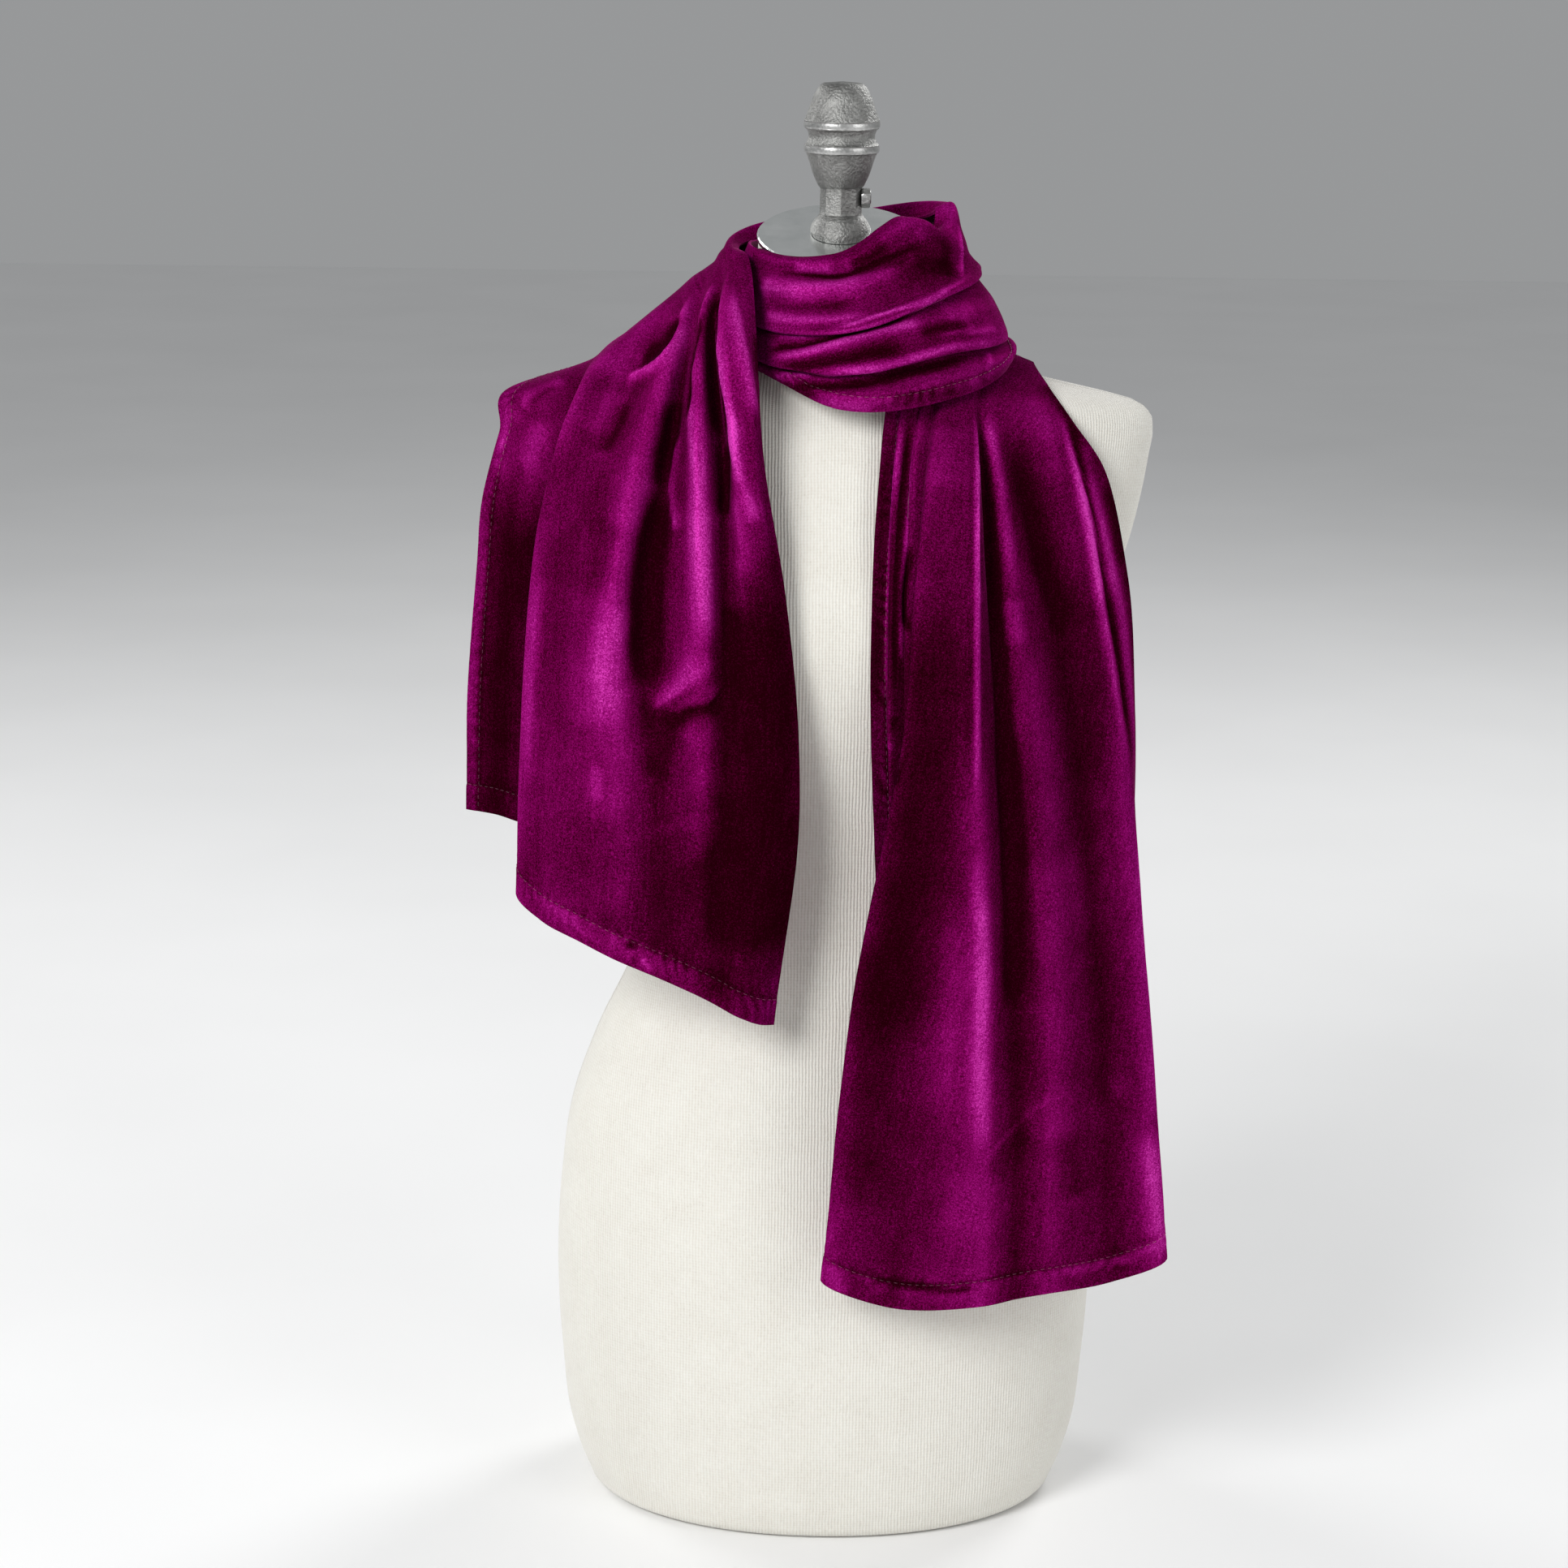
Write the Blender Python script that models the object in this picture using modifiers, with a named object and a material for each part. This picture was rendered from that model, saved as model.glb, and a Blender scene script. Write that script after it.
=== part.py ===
"""A velvet scarf wound once round the neck of a limbless dress form.

Metres, +Z up. The form faces -Y and its left shoulder, as seen from the front, is at -X.
The origin is the middle of the flat underside that the form stands on.

The scarf is one long strip. From its right tail it goes up over the right shoulder, behind
the neck as the inner turn, across the throat as the front turn, round the back as the back
turn, and forward over the left shoulder as the left tail. Each stretch is a sheet that is
drawn through its fold lines: ridges, creases and edges that run along the strip. A fold's
row gives where it lies at a few named stations, in millimetres, and everything between
the rows and the stations is a smooth curve.
"""
import math

import bmesh
import bpy
import numpy as np
from mathutils import Vector

MM = 0.001
GAP = 0.0003                 # clearance where two pieces meet
CLOTH = 0.002                # velvet with its pile, folded edge to folded edge

# dress form, each row one level section: height, half width, depth in front and behind,
# and fullness, which is 2 for an oval, more for a squarer section and less for a leaner one
FORM_SECTIONS = [
    # height  half  front  back  fullness
    (0, 150, 106, 108, 2.1),
    (3, 155, 111, 113, 2.1),
    (12, 160, 115, 117, 2.1),
    (40, 170, 118, 121, 2.1),
    (95, 177, 119, 123, 2.1),
    (160, 180, 117, 122, 2.1),
    (220, 177, 114, 117, 2.1),
    (270, 170, 108, 110, 2.05),
    (320, 153, 101, 101, 2.0),
    (370, 130, 94, 92, 2.0),
    (430, 114, 90, 86, 2.0),
    (490, 122, 96, 88, 2.0),
    (550, 144, 108, 94, 2.0),
    (600, 165, 113, 99, 1.95),
    (645, 187, 109, 100, 1.85),
    (680, 196, 101, 99, 1.8),
    (710, 201, 94, 95, 1.75),
    (727, 203, 89, 92, 1.75),
    (738, 200, 85, 89, 1.75),
    (745, 190, 82, 87, 1.75),
    (752, 160, 79, 84, 1.8),
    (758, 132, 76, 81, 1.85),
    (765, 107, 73, 78, 1.9),
    (774, 85, 68, 73, 2.0),
    (786, 69, 62, 67, 2.0),
    (804, 58, 55, 59, 2.0),
    (822, 52.5, 51.5, 53, 2.0),
    (844.0, 51, 51, 51, 2.0),
]
BUST = {"height": 606, "apart": 78, "spread": 52, "rise": 17}
FORM_RING = 36               # faces round the form
FORM_ROW_HEIGHT = 0.034      # tallest face up the form

# neck plate and the cast knob that stands on it
PLATE_RADIUS = 0.052
PLATE_THICKNESS = 0.004
PLATE_TILT = math.radians(15.4)
PLATE_HEIGHT = FORM_SECTIONS[-1][0] * MM + GAP / math.cos(PLATE_TILT)   # middle of its underside
KNOB_SIDES = 24
KNOB_OFFSET = 0.0008          # the knob stands this far to the right of the middle
KNOB_SECTIONS = [
    # height above the plate, radius, share of the eight-sided shape
    (0.0, 18.6, 0.0),
    (2.5, 19.3, 0.0),
    (5.5, 18.2, 0.0),
    (8.8, 16.2, 0.0),
    (11.5, 14.0, 0.3),
    (13.5, 13.4, 1.0),
    (27.5, 13.2, 1.0),
    (29.5, 14.3, 0.4),
    (33.0, 16.0, 0.0),
    (37.5, 18.0, 0.0),
    (44.5, 20.2, 0.0),
    (50.0, 22.3, 0.0),
    (51.5, 23.7, 0.0),
    (55.0, 23.7, 0.0),
    (57.0, 22.2, 0.0),
    (61.0, 20.9, 0.0),
    (64.5, 22.0, 0.0),
    (66.5, 23.9, 0.0),
    (70.0, 23.9, 0.0),
    (72.5, 22.9, 0.0),
    (79.0, 20.5, 0.0),
    (86.0, 18.0, 0.0),
    (91.0, 15.2, 0.0),
    (93.5, 12.4, 0.0),
]
BOLT_ACROSS_CORNERS = 0.0125
BOLT_HEAD_LENGTH = 0.0062
BOLT_HEIGHT = 0.0225         # above the plate
BOLT_SEAT = 0.0127           # from the knob's axis to the underside of the head

# Tails. A fold line starts on the shoulder's ridge at its own height, ends at the hem, and
# passes these stations at a share of that drop. Each row gives x and the distance in
# front of the form's middle, both in millimetres.
LEFT_STATIONS = {"shoulder": 0.0, "collar": 0.10, "chest": 0.24, "bust": 0.42, "waist": 0.70, "hem": 1.0}
LEFT_FOLDS = [
    # name             top  hem   x at each station                     in front at each station
    ("inner edge",     838, 364, (-58, -51, -46, -31, -21, -36), (34, 100, 118, 129, 131, 128)),
    ("roll",           838, 367, (-64, -57, -51, -42, -38, -45), (34, 108, 127, 138, 141, 137)),
    ("pleat a",        836, 373, (-69, -70, -62, -56, -54, -57), (28, 109, 128, 139, 143, 142)),
    ("crease a",       833, 379, (-73, -76, -70, -68, -67, -69), (22, 90, 111, 132, 139, 140)),
    ("pleat b",        829, 387, (-78, -85, -85, -82, -81, -84), (16, 102, 125, 144, 143, 140)),
    ("long crease",    825, 396, (-84, -93, -103, -113, -110, -106), (11, 82, 101, 122, 134, 137)),
    ("scoop",          820, 408, (-92, -104, -121, -134, -135, -134), (7, 88, 116, 140, 140, 137)),
    ("pocket",         811, 419, (-102, -121, -140, -154, -157, -158), (5, 60, 103, 128, 133, 132)),
    ("upper face",     797, 428, (-119, -142, -160, -173, -180, -182), (7, 58, 92, 110, 118, 119)),
    ("front fold",     774, 442, (-147, -168, -182, -190, -196, -199), (8, 68, 79, 92, 99, 101)),
    ("turn behind",    766, 465, (-155, -160, -162, -162, -165, -168), (-1, 57, 67, 74, 79, 81)),
    ("back panel",     757, 477, (-178, -188, -198, -203, -206, -209), (-2, 39, 44, 49, 52, 53)),
    ("selvedge",       748, 477, (-205, -214, -224, -228, -234, -236), (-5, 16, 22, 26, 30, 32)),
]
RIGHT_STATIONS = {"shoulder": 0.0, "slope": 0.05, "collar": 0.10, "chest": 0.22, "bust": 0.38,
                  "waist": 0.68, "hem": 1.0}
RIGHT_FOLDS = [
    ("selvedge",       830, 238, (58, 48, 34, 25, 22, 29, 36), (0, 47, 77, 104, 123, 120, 117)),
    ("crease a",       824, 236, (61, 52, 40, 34, 33, 41, 49), (0, 47, 77, 104, 123, 120, 117)),
    ("pleat a",        819, 230, (64, 54, 42, 36, 34, 39, 48), (0, 51, 82, 110, 129, 126, 123)),
    ("crease b",       813, 226, (66, 58, 50, 44, 43, 50, 57), (0, 50, 81, 109, 128, 125, 120)),
    ("pleat b",        808, 222, (69, 61, 52, 46, 44, 49, 62), (0, 54, 86, 113, 132, 128, 123)),
    ("crease c",       803, 213, (71, 65, 58, 54, 52, 57, 65), (0, 55, 87, 116, 137, 134, 131)),
    ("fold under",     800, 202, (73, 67, 59, 51, 47, 20, 3), (0, 60, 94, 124, 145, 142, 140)),
    ("front fold",     797, 198, (75, 69, 61, 51, 44, 15, -2), (0, 65, 100, 130, 151, 148, 147)),
    ("front face",     793, 184, (77, 75, 71, 69, 67, 54, 42), (0, 68, 102, 133, 155, 156, 155)),
    ("sharp ridge",    789, 188, (81, 83, 84, 86, 88, 95, 98), (0, 66, 98, 129, 152, 159, 161)),
    ("dark crease",    785, 190, (84, 88, 88, 94, 101, 116, 122), (0, 65, 89, 115, 136, 146, 152)),
    ("bright ridge",   782, 194, (89, 94, 96, 104, 117, 139, 142), (0, 68, 91, 120, 141, 148, 152)),
    ("soft trough",    776, 196, (99, 110, 118, 132, 148, 170, 182), (0, 69, 79, 98, 114, 126, 137)),
    ("outer fold",     771, 207, (112, 127, 142, 162, 179, 201, 219), (0, 67, 71, 86, 99, 112, 124)),
    ("selvedge turned", 766, 216, (126, 148, 167, 184, 190, 192, 205), (0, 59, 54, 63, 79, 92, 103)),
]
SHOULDER_WRAP = 8            # the right tail reaches this far behind the shoulder's ridge

# Turns round the neck. A direction is in degrees from straight ahead, to the right.
# Each row gives the height and the distance from the neck's axis at each of them.
FRONT_DIRECTIONS = (-60, -25, 0, 42, 68, 85)
FRONT_FOLDS = [
    # name             height in each direction        distance in each direction
    ("top edge",       (841, 839, 843, 864, 850, 865), (57, 60, 61, 60, 62, 61)),
    ("collar roll",    (840, 837, 839, 863, 855, 868), (61, 67, 69, 70, 71, 71)),
    ("collar crease",  (832, 830, 829, 848, 849, 852), (62, 68, 70, 74, 77, 77)),
    ("upper ridge",    (824, 825, 825, 840, 843, 844), (65, 76, 79, 80, 81, 80)),
    ("soft trough",    (817, 815, 815, 832, 836, 838), (67, 79, 83, 83, 83, 82)),
    ("middle ridge",   (811, 805, 805, 824, 829, 833), (71, 86, 92, 90, 88, 85)),
    ("first edge",     (806, 797, 799, 819, 825, 828), (74, 90, 98, 97, 94, 90)),
    ("first tuck",     (805, 797, 799, 818, 823, 825), (70, 82, 89, 89, 89, 87)),
    ("lower ridge",    (799, 788, 791, 805, 807, 807), (75, 91, 100, 102, 102, 99)),
    ("second edge",    (794, 777, 776, 787, 787, 786), (79, 97, 110, 112, 111, 107)),
    ("second tuck",    (791, 776, 774, 785, 785, 784), (76, 88, 101, 104, 104, 102)),
    ("hem roll",       (788, 771, 762, 772, 777, 779), (83, 94, 112, 115, 115, 113)),
    ("bottom edge",    (784, 768, 754, 759, 768, 775), (84, 92, 108, 112, 112, 110)),
]
BACK_DIRECTIONS = (132, 180, 225)
BACK_FOLDS = [
    ("top edge",       (853, 843, 842), (61, 59, 58)),
    ("collar roll",    (864, 854, 850), (71, 70, 66)),
    ("collar crease",  (849, 843, 841), (77, 75, 70)),
    ("upper ridge",    (842, 837, 836), (81, 81, 75)),
    ("soft trough",    (836, 830, 829), (81, 81, 76)),
    ("middle ridge",   (831, 824, 822), (88, 89, 84)),
    ("first edge",     (824, 815, 813), (92, 93, 90)),
    ("first tuck",     (820, 811, 808), (86, 87, 89)),
    ("lower ridge",    (806, 799, 797), (98, 98, 101)),
    ("second edge",    (790, 787, 785), (104, 104, 112)),
    ("second tuck",    (787, 783, 780), (97, 98, 113)),
    ("hem roll",       (780, 775, 770), (110, 109, 126)),
    ("bottom edge",    (772, 765, 760), (108, 108, 130)),
]
INNER_DIRECTIONS = (90, 112, 135, 180, 225, 270, 299.7)
INNER_FOLDS = [
    ("top edge",       (830, 835, 838, 839, 840, 842, 841), (58, 57, 57, 57, 56, 56, 57)),
    ("upper ridge",    (818, 825, 829, 830, 829, 829, 829), (64, 63, 63, 62, 61, 61, 62)),
    ("upper crease",   (805, 814, 820, 820, 819, 817, 818), (70, 67, 65, 64, 63, 63, 65)),
    ("middle ridge",   (793, 803, 811, 811, 810, 808, 808), (78, 75, 72, 71, 70, 70, 71)),
    ("lower crease",   (782, 793, 802, 803, 802, 800, 800), (89, 81, 76, 74, 73, 73, 73)),
    ("lower ridge",    (773, 784, 793, 795, 794, 792, 792), (107, 91, 84, 82, 81, 80, 78)),
    ("bottom edge",    (766, 774, 784, 788, 787, 786, 784), (126, 104, 94, 88, 87, 86, 84)),
]

# how finely each stretch is drawn: steps between neighbouring folds, rows along the strip
GRIDS = {
    "scarf_right_tail": (2, 20),
    "scarf_inner_turn": (2, 20),
    "scarf_front_turn": (2, 20),
    "scarf_back_turn": (2, 20),
    "scarf_left_tail": (2, 20),
}
TURN_STEP = 12               # degrees between the points that a turn's folds are read at
EDGE_ROW = 0.0012            # short first and last row, which squares the ends of a stretch

VELVET = {"colour": (0.22, 0.004, 0.13), "roughness": 0.45, "metallic": 0.0}
JERSEY = {"colour": (0.76, 0.72, 0.64), "roughness": 0.85, "metallic": 0.0}
POLISHED_PLATE = {"colour": (0.62, 0.63, 0.62), "roughness": 0.25, "metallic": 1.0}
CAST_METAL = {"colour": (0.42, 0.42, 0.42), "roughness": 0.42, "metallic": 1.0}


def clear_scene():
    for existing in list(bpy.data.objects):
        bpy.data.objects.remove(existing, do_unlink=True)


def make_collection(name):
    collection = bpy.data.collections.new(name)
    bpy.context.scene.collection.children.link(collection)
    return collection


def make_material(name, finish):
    material = bpy.data.materials.new(name)
    material.use_nodes = True
    shader = material.node_tree.nodes["Principled BSDF"]
    shader.inputs["Base Color"].default_value = (*finish["colour"], 1.0)
    shader.inputs["Roughness"].default_value = finish["roughness"]
    shader.inputs["Metallic"].default_value = finish["metallic"]
    material.diffuse_color = (*finish["colour"], 1.0)
    return material


def make_object(name, points, faces, material, collection):
    mesh = bpy.data.meshes.new(name)
    mesh.from_pydata([tuple(map(float, p)) for p in points], [], faces)
    mesh.update()
    piece = bpy.data.objects.new(name, mesh)
    collection.objects.link(piece)
    piece.data.materials.append(material)
    mesh.shade_smooth()
    return piece


def curve_through(knots, controls, wanted):
    """Smooth curve through controls, which sit at knots; last axis holds coordinates."""
    knots = np.asarray(knots, float)
    controls = np.asarray(controls, float)
    slopes = np.empty_like(controls)
    steps = np.diff(knots)
    chords = np.diff(controls, axis=0) / steps[:, None]
    slopes[0] = chords[0]
    slopes[-1] = chords[-1]
    weight = (steps[1:] / (steps[:-1] + steps[1:]))[:, None]
    slopes[1:-1] = chords[:-1] * weight + chords[1:] * (1 - weight)
    wanted = np.clip(wanted, knots[0], knots[-1])
    span = np.clip(np.searchsorted(knots, wanted, side="right") - 1, 0, len(steps) - 1)
    width = steps[span]
    t = ((wanted - knots[span]) / width)[:, None]
    width = width[:, None]
    return ((2 * t**3 - 3 * t**2 + 1) * controls[span]
            + (t**3 - 2 * t**2 + t) * width * slopes[span]
            + (3 * t**2 - 2 * t**3) * controls[span + 1]
            + (t**3 - t**2) * width * slopes[span + 1])


def from_directions(rounds):
    """Points from (degrees from straight ahead, distance from the neck's axis, height)."""
    angle = np.radians(rounds[..., 0])
    return np.stack([rounds[..., 1] * np.sin(angle), -rounds[..., 1] * np.cos(angle),
                     rounds[..., 2]], axis=-1)


def to_directions(points):
    angle = np.degrees(np.arctan2(points[..., 0], -points[..., 1])) % 360
    return np.stack([angle, np.hypot(points[..., 0], points[..., 1]), points[..., 2]], axis=-1)


def tail_lines(folds, stations):
    """Points of every fold of a tail at every station."""
    lines = []
    for name, top, hem, sideways, in_front in folds:
        lines.append([(x, -front, top + (hem - top) * share)
                      for x, front, share in zip(sideways, in_front, stations.values())])
    return np.array(lines, float) * MM


def right_tail_lines():
    """The right tail, with the short end that wraps back over the shoulder."""
    lines = tail_lines(RIGHT_FOLDS, RIGHT_STATIONS)
    wrap = lines[:, :1].copy()
    wrap[..., 1] = SHOULDER_WRAP * MM
    return np.concatenate([wrap, lines], axis=1)


def turn_lines(folds, directions):
    """Directions, distances and heights of every fold of a turn."""
    lines = []
    for name, heights, distances in folds:
        lines.append([(angle, distance * MM, height * MM)
                      for angle, distance, height in zip(directions, distances, heights)])
    return np.array(lines, float)


def round_the_neck(lines):
    """A turn's folds read every few degrees, so that they run round and not across."""
    heading = lines[..., 0].mean(axis=0)
    count = int(round((heading[-1] - heading[0]) / TURN_STEP))
    wanted = np.linspace(heading[0], heading[-1], count + 1)
    return from_directions(np.stack([curve_through(heading, line, wanted) for line in lines]))


def inner_turn_lines():
    """The inner turn starts flush with the end of the right tail."""
    lines = turn_lines(INNER_FOLDS, INNER_DIRECTIONS)
    flush = SHOULDER_WRAP * MM + GAP
    lines[:, 0, 0] = 90 + np.degrees(np.arcsin(flush / lines[:, 0, 1]))
    return round_the_neck(lines)


def outer_turn_lines():
    """Front turn, back turn and left tail in one run, and the stations where they part."""
    left_tail = tail_lines(LEFT_FOLDS, LEFT_STATIONS)
    front = turn_lines(FRONT_FOLDS, FRONT_DIRECTIONS)
    back = np.concatenate([front[:, -1:], turn_lines(BACK_FOLDS, BACK_DIRECTIONS),
                           to_directions(left_tail[:, :1])], axis=1)
    front = round_the_neck(front)
    back = round_the_neck(back)
    run = np.concatenate([front, back[:, 1:], left_tail[:, 1:]], axis=1)
    side = front.shape[1] - 1
    shoulder = side + back.shape[1] - 1
    return run, side, shoulder


def distances_along(lines):
    """How far along the strip each station lies, on the average of its folds."""
    reach = np.linalg.norm(np.diff(lines, axis=1), axis=2).mean(axis=0)
    return np.concatenate([[0.0], np.cumsum(reach)])


def sheet_points(lines, steps, rows, start, end):
    """Grid of points drawn through the fold lines: [row along the strip][place across it]."""
    along = distances_along(lines)
    inside = np.linspace(start, end, rows - 1)[1:-1]
    places = np.concatenate([[start, start + EDGE_ROW], inside, [end - EDGE_ROW, end]])
    drawn = np.stack([curve_through(along, line, places) for line in lines])
    grid = []
    for section in np.swapaxes(drawn, 0, 1):
        spacing = np.sqrt(np.linalg.norm(np.diff(section, axis=0), axis=1))
        knots = np.concatenate([[0.0], np.cumsum(spacing)])
        wanted = [knots[k] + (knots[k + 1] - knots[k]) * j / steps
                  for k in range(len(spacing)) for j in range(steps)]
        grid.append(curve_through(knots, section, np.array(wanted + [knots[-1]])))
    return np.array(grid)


def grid_faces(rows, columns):
    return [(r * columns + c, r * columns + c + 1, (r + 1) * columns + c + 1, (r + 1) * columns + c)
            for r in range(rows - 1) for c in range(columns - 1)]


def build_cloth(name, lines, start, end, material, collection):
    """A stretch of the scarf, an open sheet made solid with the thickness of the cloth."""
    steps, rows = GRIDS[name]
    grid = sheet_points(lines, steps, rows, start, end)
    piece = make_object(name, grid.reshape(-1, 3), grid_faces(*grid.shape[:2]), material, collection)
    wall = piece.modifiers.new("cloth thickness", "SOLIDIFY")
    wall.thickness = CLOTH
    wall.offset = 0.0
    return piece


def form_section(height):
    """Half width, front depth, back depth and fullness of the form at a height in metres."""
    rows = np.array(FORM_SECTIONS, float) * (MM, MM, MM, MM, 1)
    return curve_through(rows[:, 0], rows[:, 1:], np.array([height]))[0]


def form_ring(height):
    """Points of one level section, leaning with the plate near the top of the neck."""
    half, front, back, fullness = form_section(height)
    lean = min(max((height - 0.79) / (FORM_SECTIONS[-1][0] * MM - 0.79), 0.0), 1.0)
    ring = []
    for step in range(FORM_RING):
        angle = 2 * math.pi * step / FORM_RING
        across, ahead = math.sin(angle), math.cos(angle)
        x = half * math.copysign(abs(across) ** (2 / fullness), across)
        depth = front if ahead > 0 else back
        y = -depth * math.copysign(abs(ahead) ** (2 / fullness), ahead)
        if ahead > 0:
            for side in (-1, 1):
                offset = ((x - side * BUST["apart"] * MM) ** 2
                          + (height - BUST["height"] * MM) ** 2) / (BUST["spread"] * MM) ** 2
                y -= BUST["rise"] * MM * math.exp(-offset) * math.sqrt(ahead)
        ring.append((x, y, height + y * math.tan(PLATE_TILT) * lean))
    return ring


def build_form(material, collection):
    heights = [row[0] * MM for row in FORM_SECTIONS]
    levels = []
    for low, high in zip(heights, heights[1:]):
        rows = math.ceil((high - low) / FORM_ROW_HEIGHT)
        levels += [low + (high - low) * step / rows for step in range(rows)]
    levels.append(heights[-1])
    points = [point for level in levels for point in form_ring(level)]
    faces = []
    for row in range(len(levels) - 1):
        for step in range(FORM_RING):
            here = row * FORM_RING + step
            beside = row * FORM_RING + (step + 1) % FORM_RING
            faces.append((here, beside, beside + FORM_RING, here + FORM_RING))
    faces.append(tuple(reversed(range(FORM_RING))))
    last = (len(levels) - 1) * FORM_RING
    faces.append(tuple(range(last, last + FORM_RING)))
    return make_object("form_torso", points, faces, material, collection)


def plate_top(y):
    """Height of the plate's upper face at a distance behind its middle."""
    middle = PLATE_HEIGHT + PLATE_THICKNESS / math.cos(PLATE_TILT)
    return middle + y * math.tan(PLATE_TILT)


def build_plate(material, collection):
    bpy.ops.mesh.primitive_cylinder_add(vertices=48, radius=PLATE_RADIUS, depth=PLATE_THICKNESS)
    plate = bpy.context.object
    plate.name = "neck_plate"
    lift = PLATE_THICKNESS / 2 / math.cos(PLATE_TILT)
    plate.location = (0, 0, PLATE_HEIGHT + lift)
    plate.rotation_euler = (PLATE_TILT, 0, 0)
    for other in list(plate.users_collection):
        other.objects.unlink(plate)
    collection.objects.link(plate)
    plate.data.materials.append(material)
    plate.data.shade_smooth()
    plate.data.set_sharp_from_angle(angle=math.radians(40))
    rim = plate.modifiers.new("rounded rim", "BEVEL")
    rim.width = 0.0008
    rim.segments = 1
    return plate


def knob_radius(radius, facets, angle):
    """Radius of a section that is round, eight-sided or between the two."""
    corner = math.pi / 4
    flat = math.cos(corner / 2) / math.cos((angle % corner) - corner / 2)
    return radius * (1 + (flat - 1) * facets)


def build_knob(material, collection):
    points = []
    base = plate_top(0) + GAP
    for level, (height, radius, facets) in enumerate(KNOB_SECTIONS):
        for step in range(KNOB_SIDES):
            angle = 2 * math.pi * (step + 0.5) / KNOB_SIDES
            reach = knob_radius(radius, facets, angle) * MM
            y = reach * math.sin(angle)
            settle = y * math.tan(PLATE_TILT) * max(0.0, 1 - height / 8.8)
            points.append((KNOB_OFFSET + reach * math.cos(angle), y, base + height * MM + settle))
    crown = len(points)
    points.append((KNOB_OFFSET, 0, base + (KNOB_SECTIONS[-1][0] + 1.2) * MM))
    faces = []
    for level in range(len(KNOB_SECTIONS) - 1):
        for step in range(KNOB_SIDES):
            here = level * KNOB_SIDES + step
            beside = level * KNOB_SIDES + (step + 1) % KNOB_SIDES
            faces.append((here, beside, beside + KNOB_SIDES, here + KNOB_SIDES))
    last = (len(KNOB_SECTIONS) - 1) * KNOB_SIDES
    for step in range(KNOB_SIDES):
        faces.append((last + step, last + (step + 1) % KNOB_SIDES, crown))
    faces.append(tuple(reversed(range(KNOB_SIDES))))
    return make_object("neck_knob", points, faces, material, collection)


def build_bolt(material, collection):
    mesh = bpy.data.meshes.new("knob_bolt")
    builder = bmesh.new()
    bmesh.ops.create_cone(builder, cap_ends=True, segments=6, radius1=BOLT_ACROSS_CORNERS / 2,
                          radius2=BOLT_ACROSS_CORNERS / 2, depth=BOLT_HEAD_LENGTH)
    builder.to_mesh(mesh)
    builder.free()
    bolt = bpy.data.objects.new("knob_bolt", mesh)
    collection.objects.link(bolt)
    bolt.data.materials.append(material)
    bolt.rotation_euler = (0, math.pi / 2, 0)
    bolt.location = (KNOB_OFFSET + BOLT_SEAT + GAP + BOLT_HEAD_LENGTH / 2, 0, plate_top(0) + BOLT_HEIGHT)
    edge = bolt.modifiers.new("chamfer", "BEVEL")
    edge.width = 0.0006
    edge.segments = 1
    return bolt


def build_scarf(material, collection):
    right_tail = right_tail_lines()
    inner = inner_turn_lines()
    outer, side, shoulder = outer_turn_lines()
    along = distances_along(outer)
    stretches = [
        ("scarf_right_tail", right_tail, 0.0, distances_along(right_tail)[-1]),
        ("scarf_inner_turn", inner, 0.0, distances_along(inner)[-1]),
        ("scarf_front_turn", outer, 0.0, along[side] - GAP / 2),
        ("scarf_back_turn", outer, along[side] + GAP / 2, along[shoulder] - GAP / 2),
        ("scarf_left_tail", outer, along[shoulder] + GAP / 2, along[-1]),
    ]
    for name, lines, start, end in stretches:
        build_cloth(name, lines, start, end, material, collection)


def main():
    clear_scene()
    parts = make_collection("scarf_on_dress_form")
    velvet = make_material("velvet", VELVET)
    jersey = make_material("ribbed_jersey", JERSEY)
    plate = make_material("polished_plate", POLISHED_PLATE)
    cast = make_material("cast_metal", CAST_METAL)
    build_form(jersey, parts)
    build_plate(plate, parts)
    build_knob(cast, parts)
    build_bolt(cast, parts)
    build_scarf(velvet, parts)


main()
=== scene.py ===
import math

import bpy
import numpy as np
from mathutils import Matrix, noise


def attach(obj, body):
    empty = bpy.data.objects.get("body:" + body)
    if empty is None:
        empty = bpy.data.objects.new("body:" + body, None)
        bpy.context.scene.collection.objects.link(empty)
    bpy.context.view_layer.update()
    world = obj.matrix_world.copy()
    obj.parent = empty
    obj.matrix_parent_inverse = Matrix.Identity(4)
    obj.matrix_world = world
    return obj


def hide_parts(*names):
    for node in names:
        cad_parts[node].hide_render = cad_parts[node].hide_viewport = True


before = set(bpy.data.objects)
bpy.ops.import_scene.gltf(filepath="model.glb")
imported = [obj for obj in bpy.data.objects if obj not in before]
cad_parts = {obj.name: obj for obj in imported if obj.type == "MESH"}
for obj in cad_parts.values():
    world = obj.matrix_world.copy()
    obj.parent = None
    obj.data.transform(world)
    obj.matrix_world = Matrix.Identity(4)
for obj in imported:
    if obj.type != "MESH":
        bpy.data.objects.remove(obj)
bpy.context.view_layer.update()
mm = 0.001
gap = 0.0003                          # clearance where two pieces meet, as in the solids
plateTilt = math.radians(15.4)        # the neck's cut leans forward
print("frame loaded")


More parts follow.
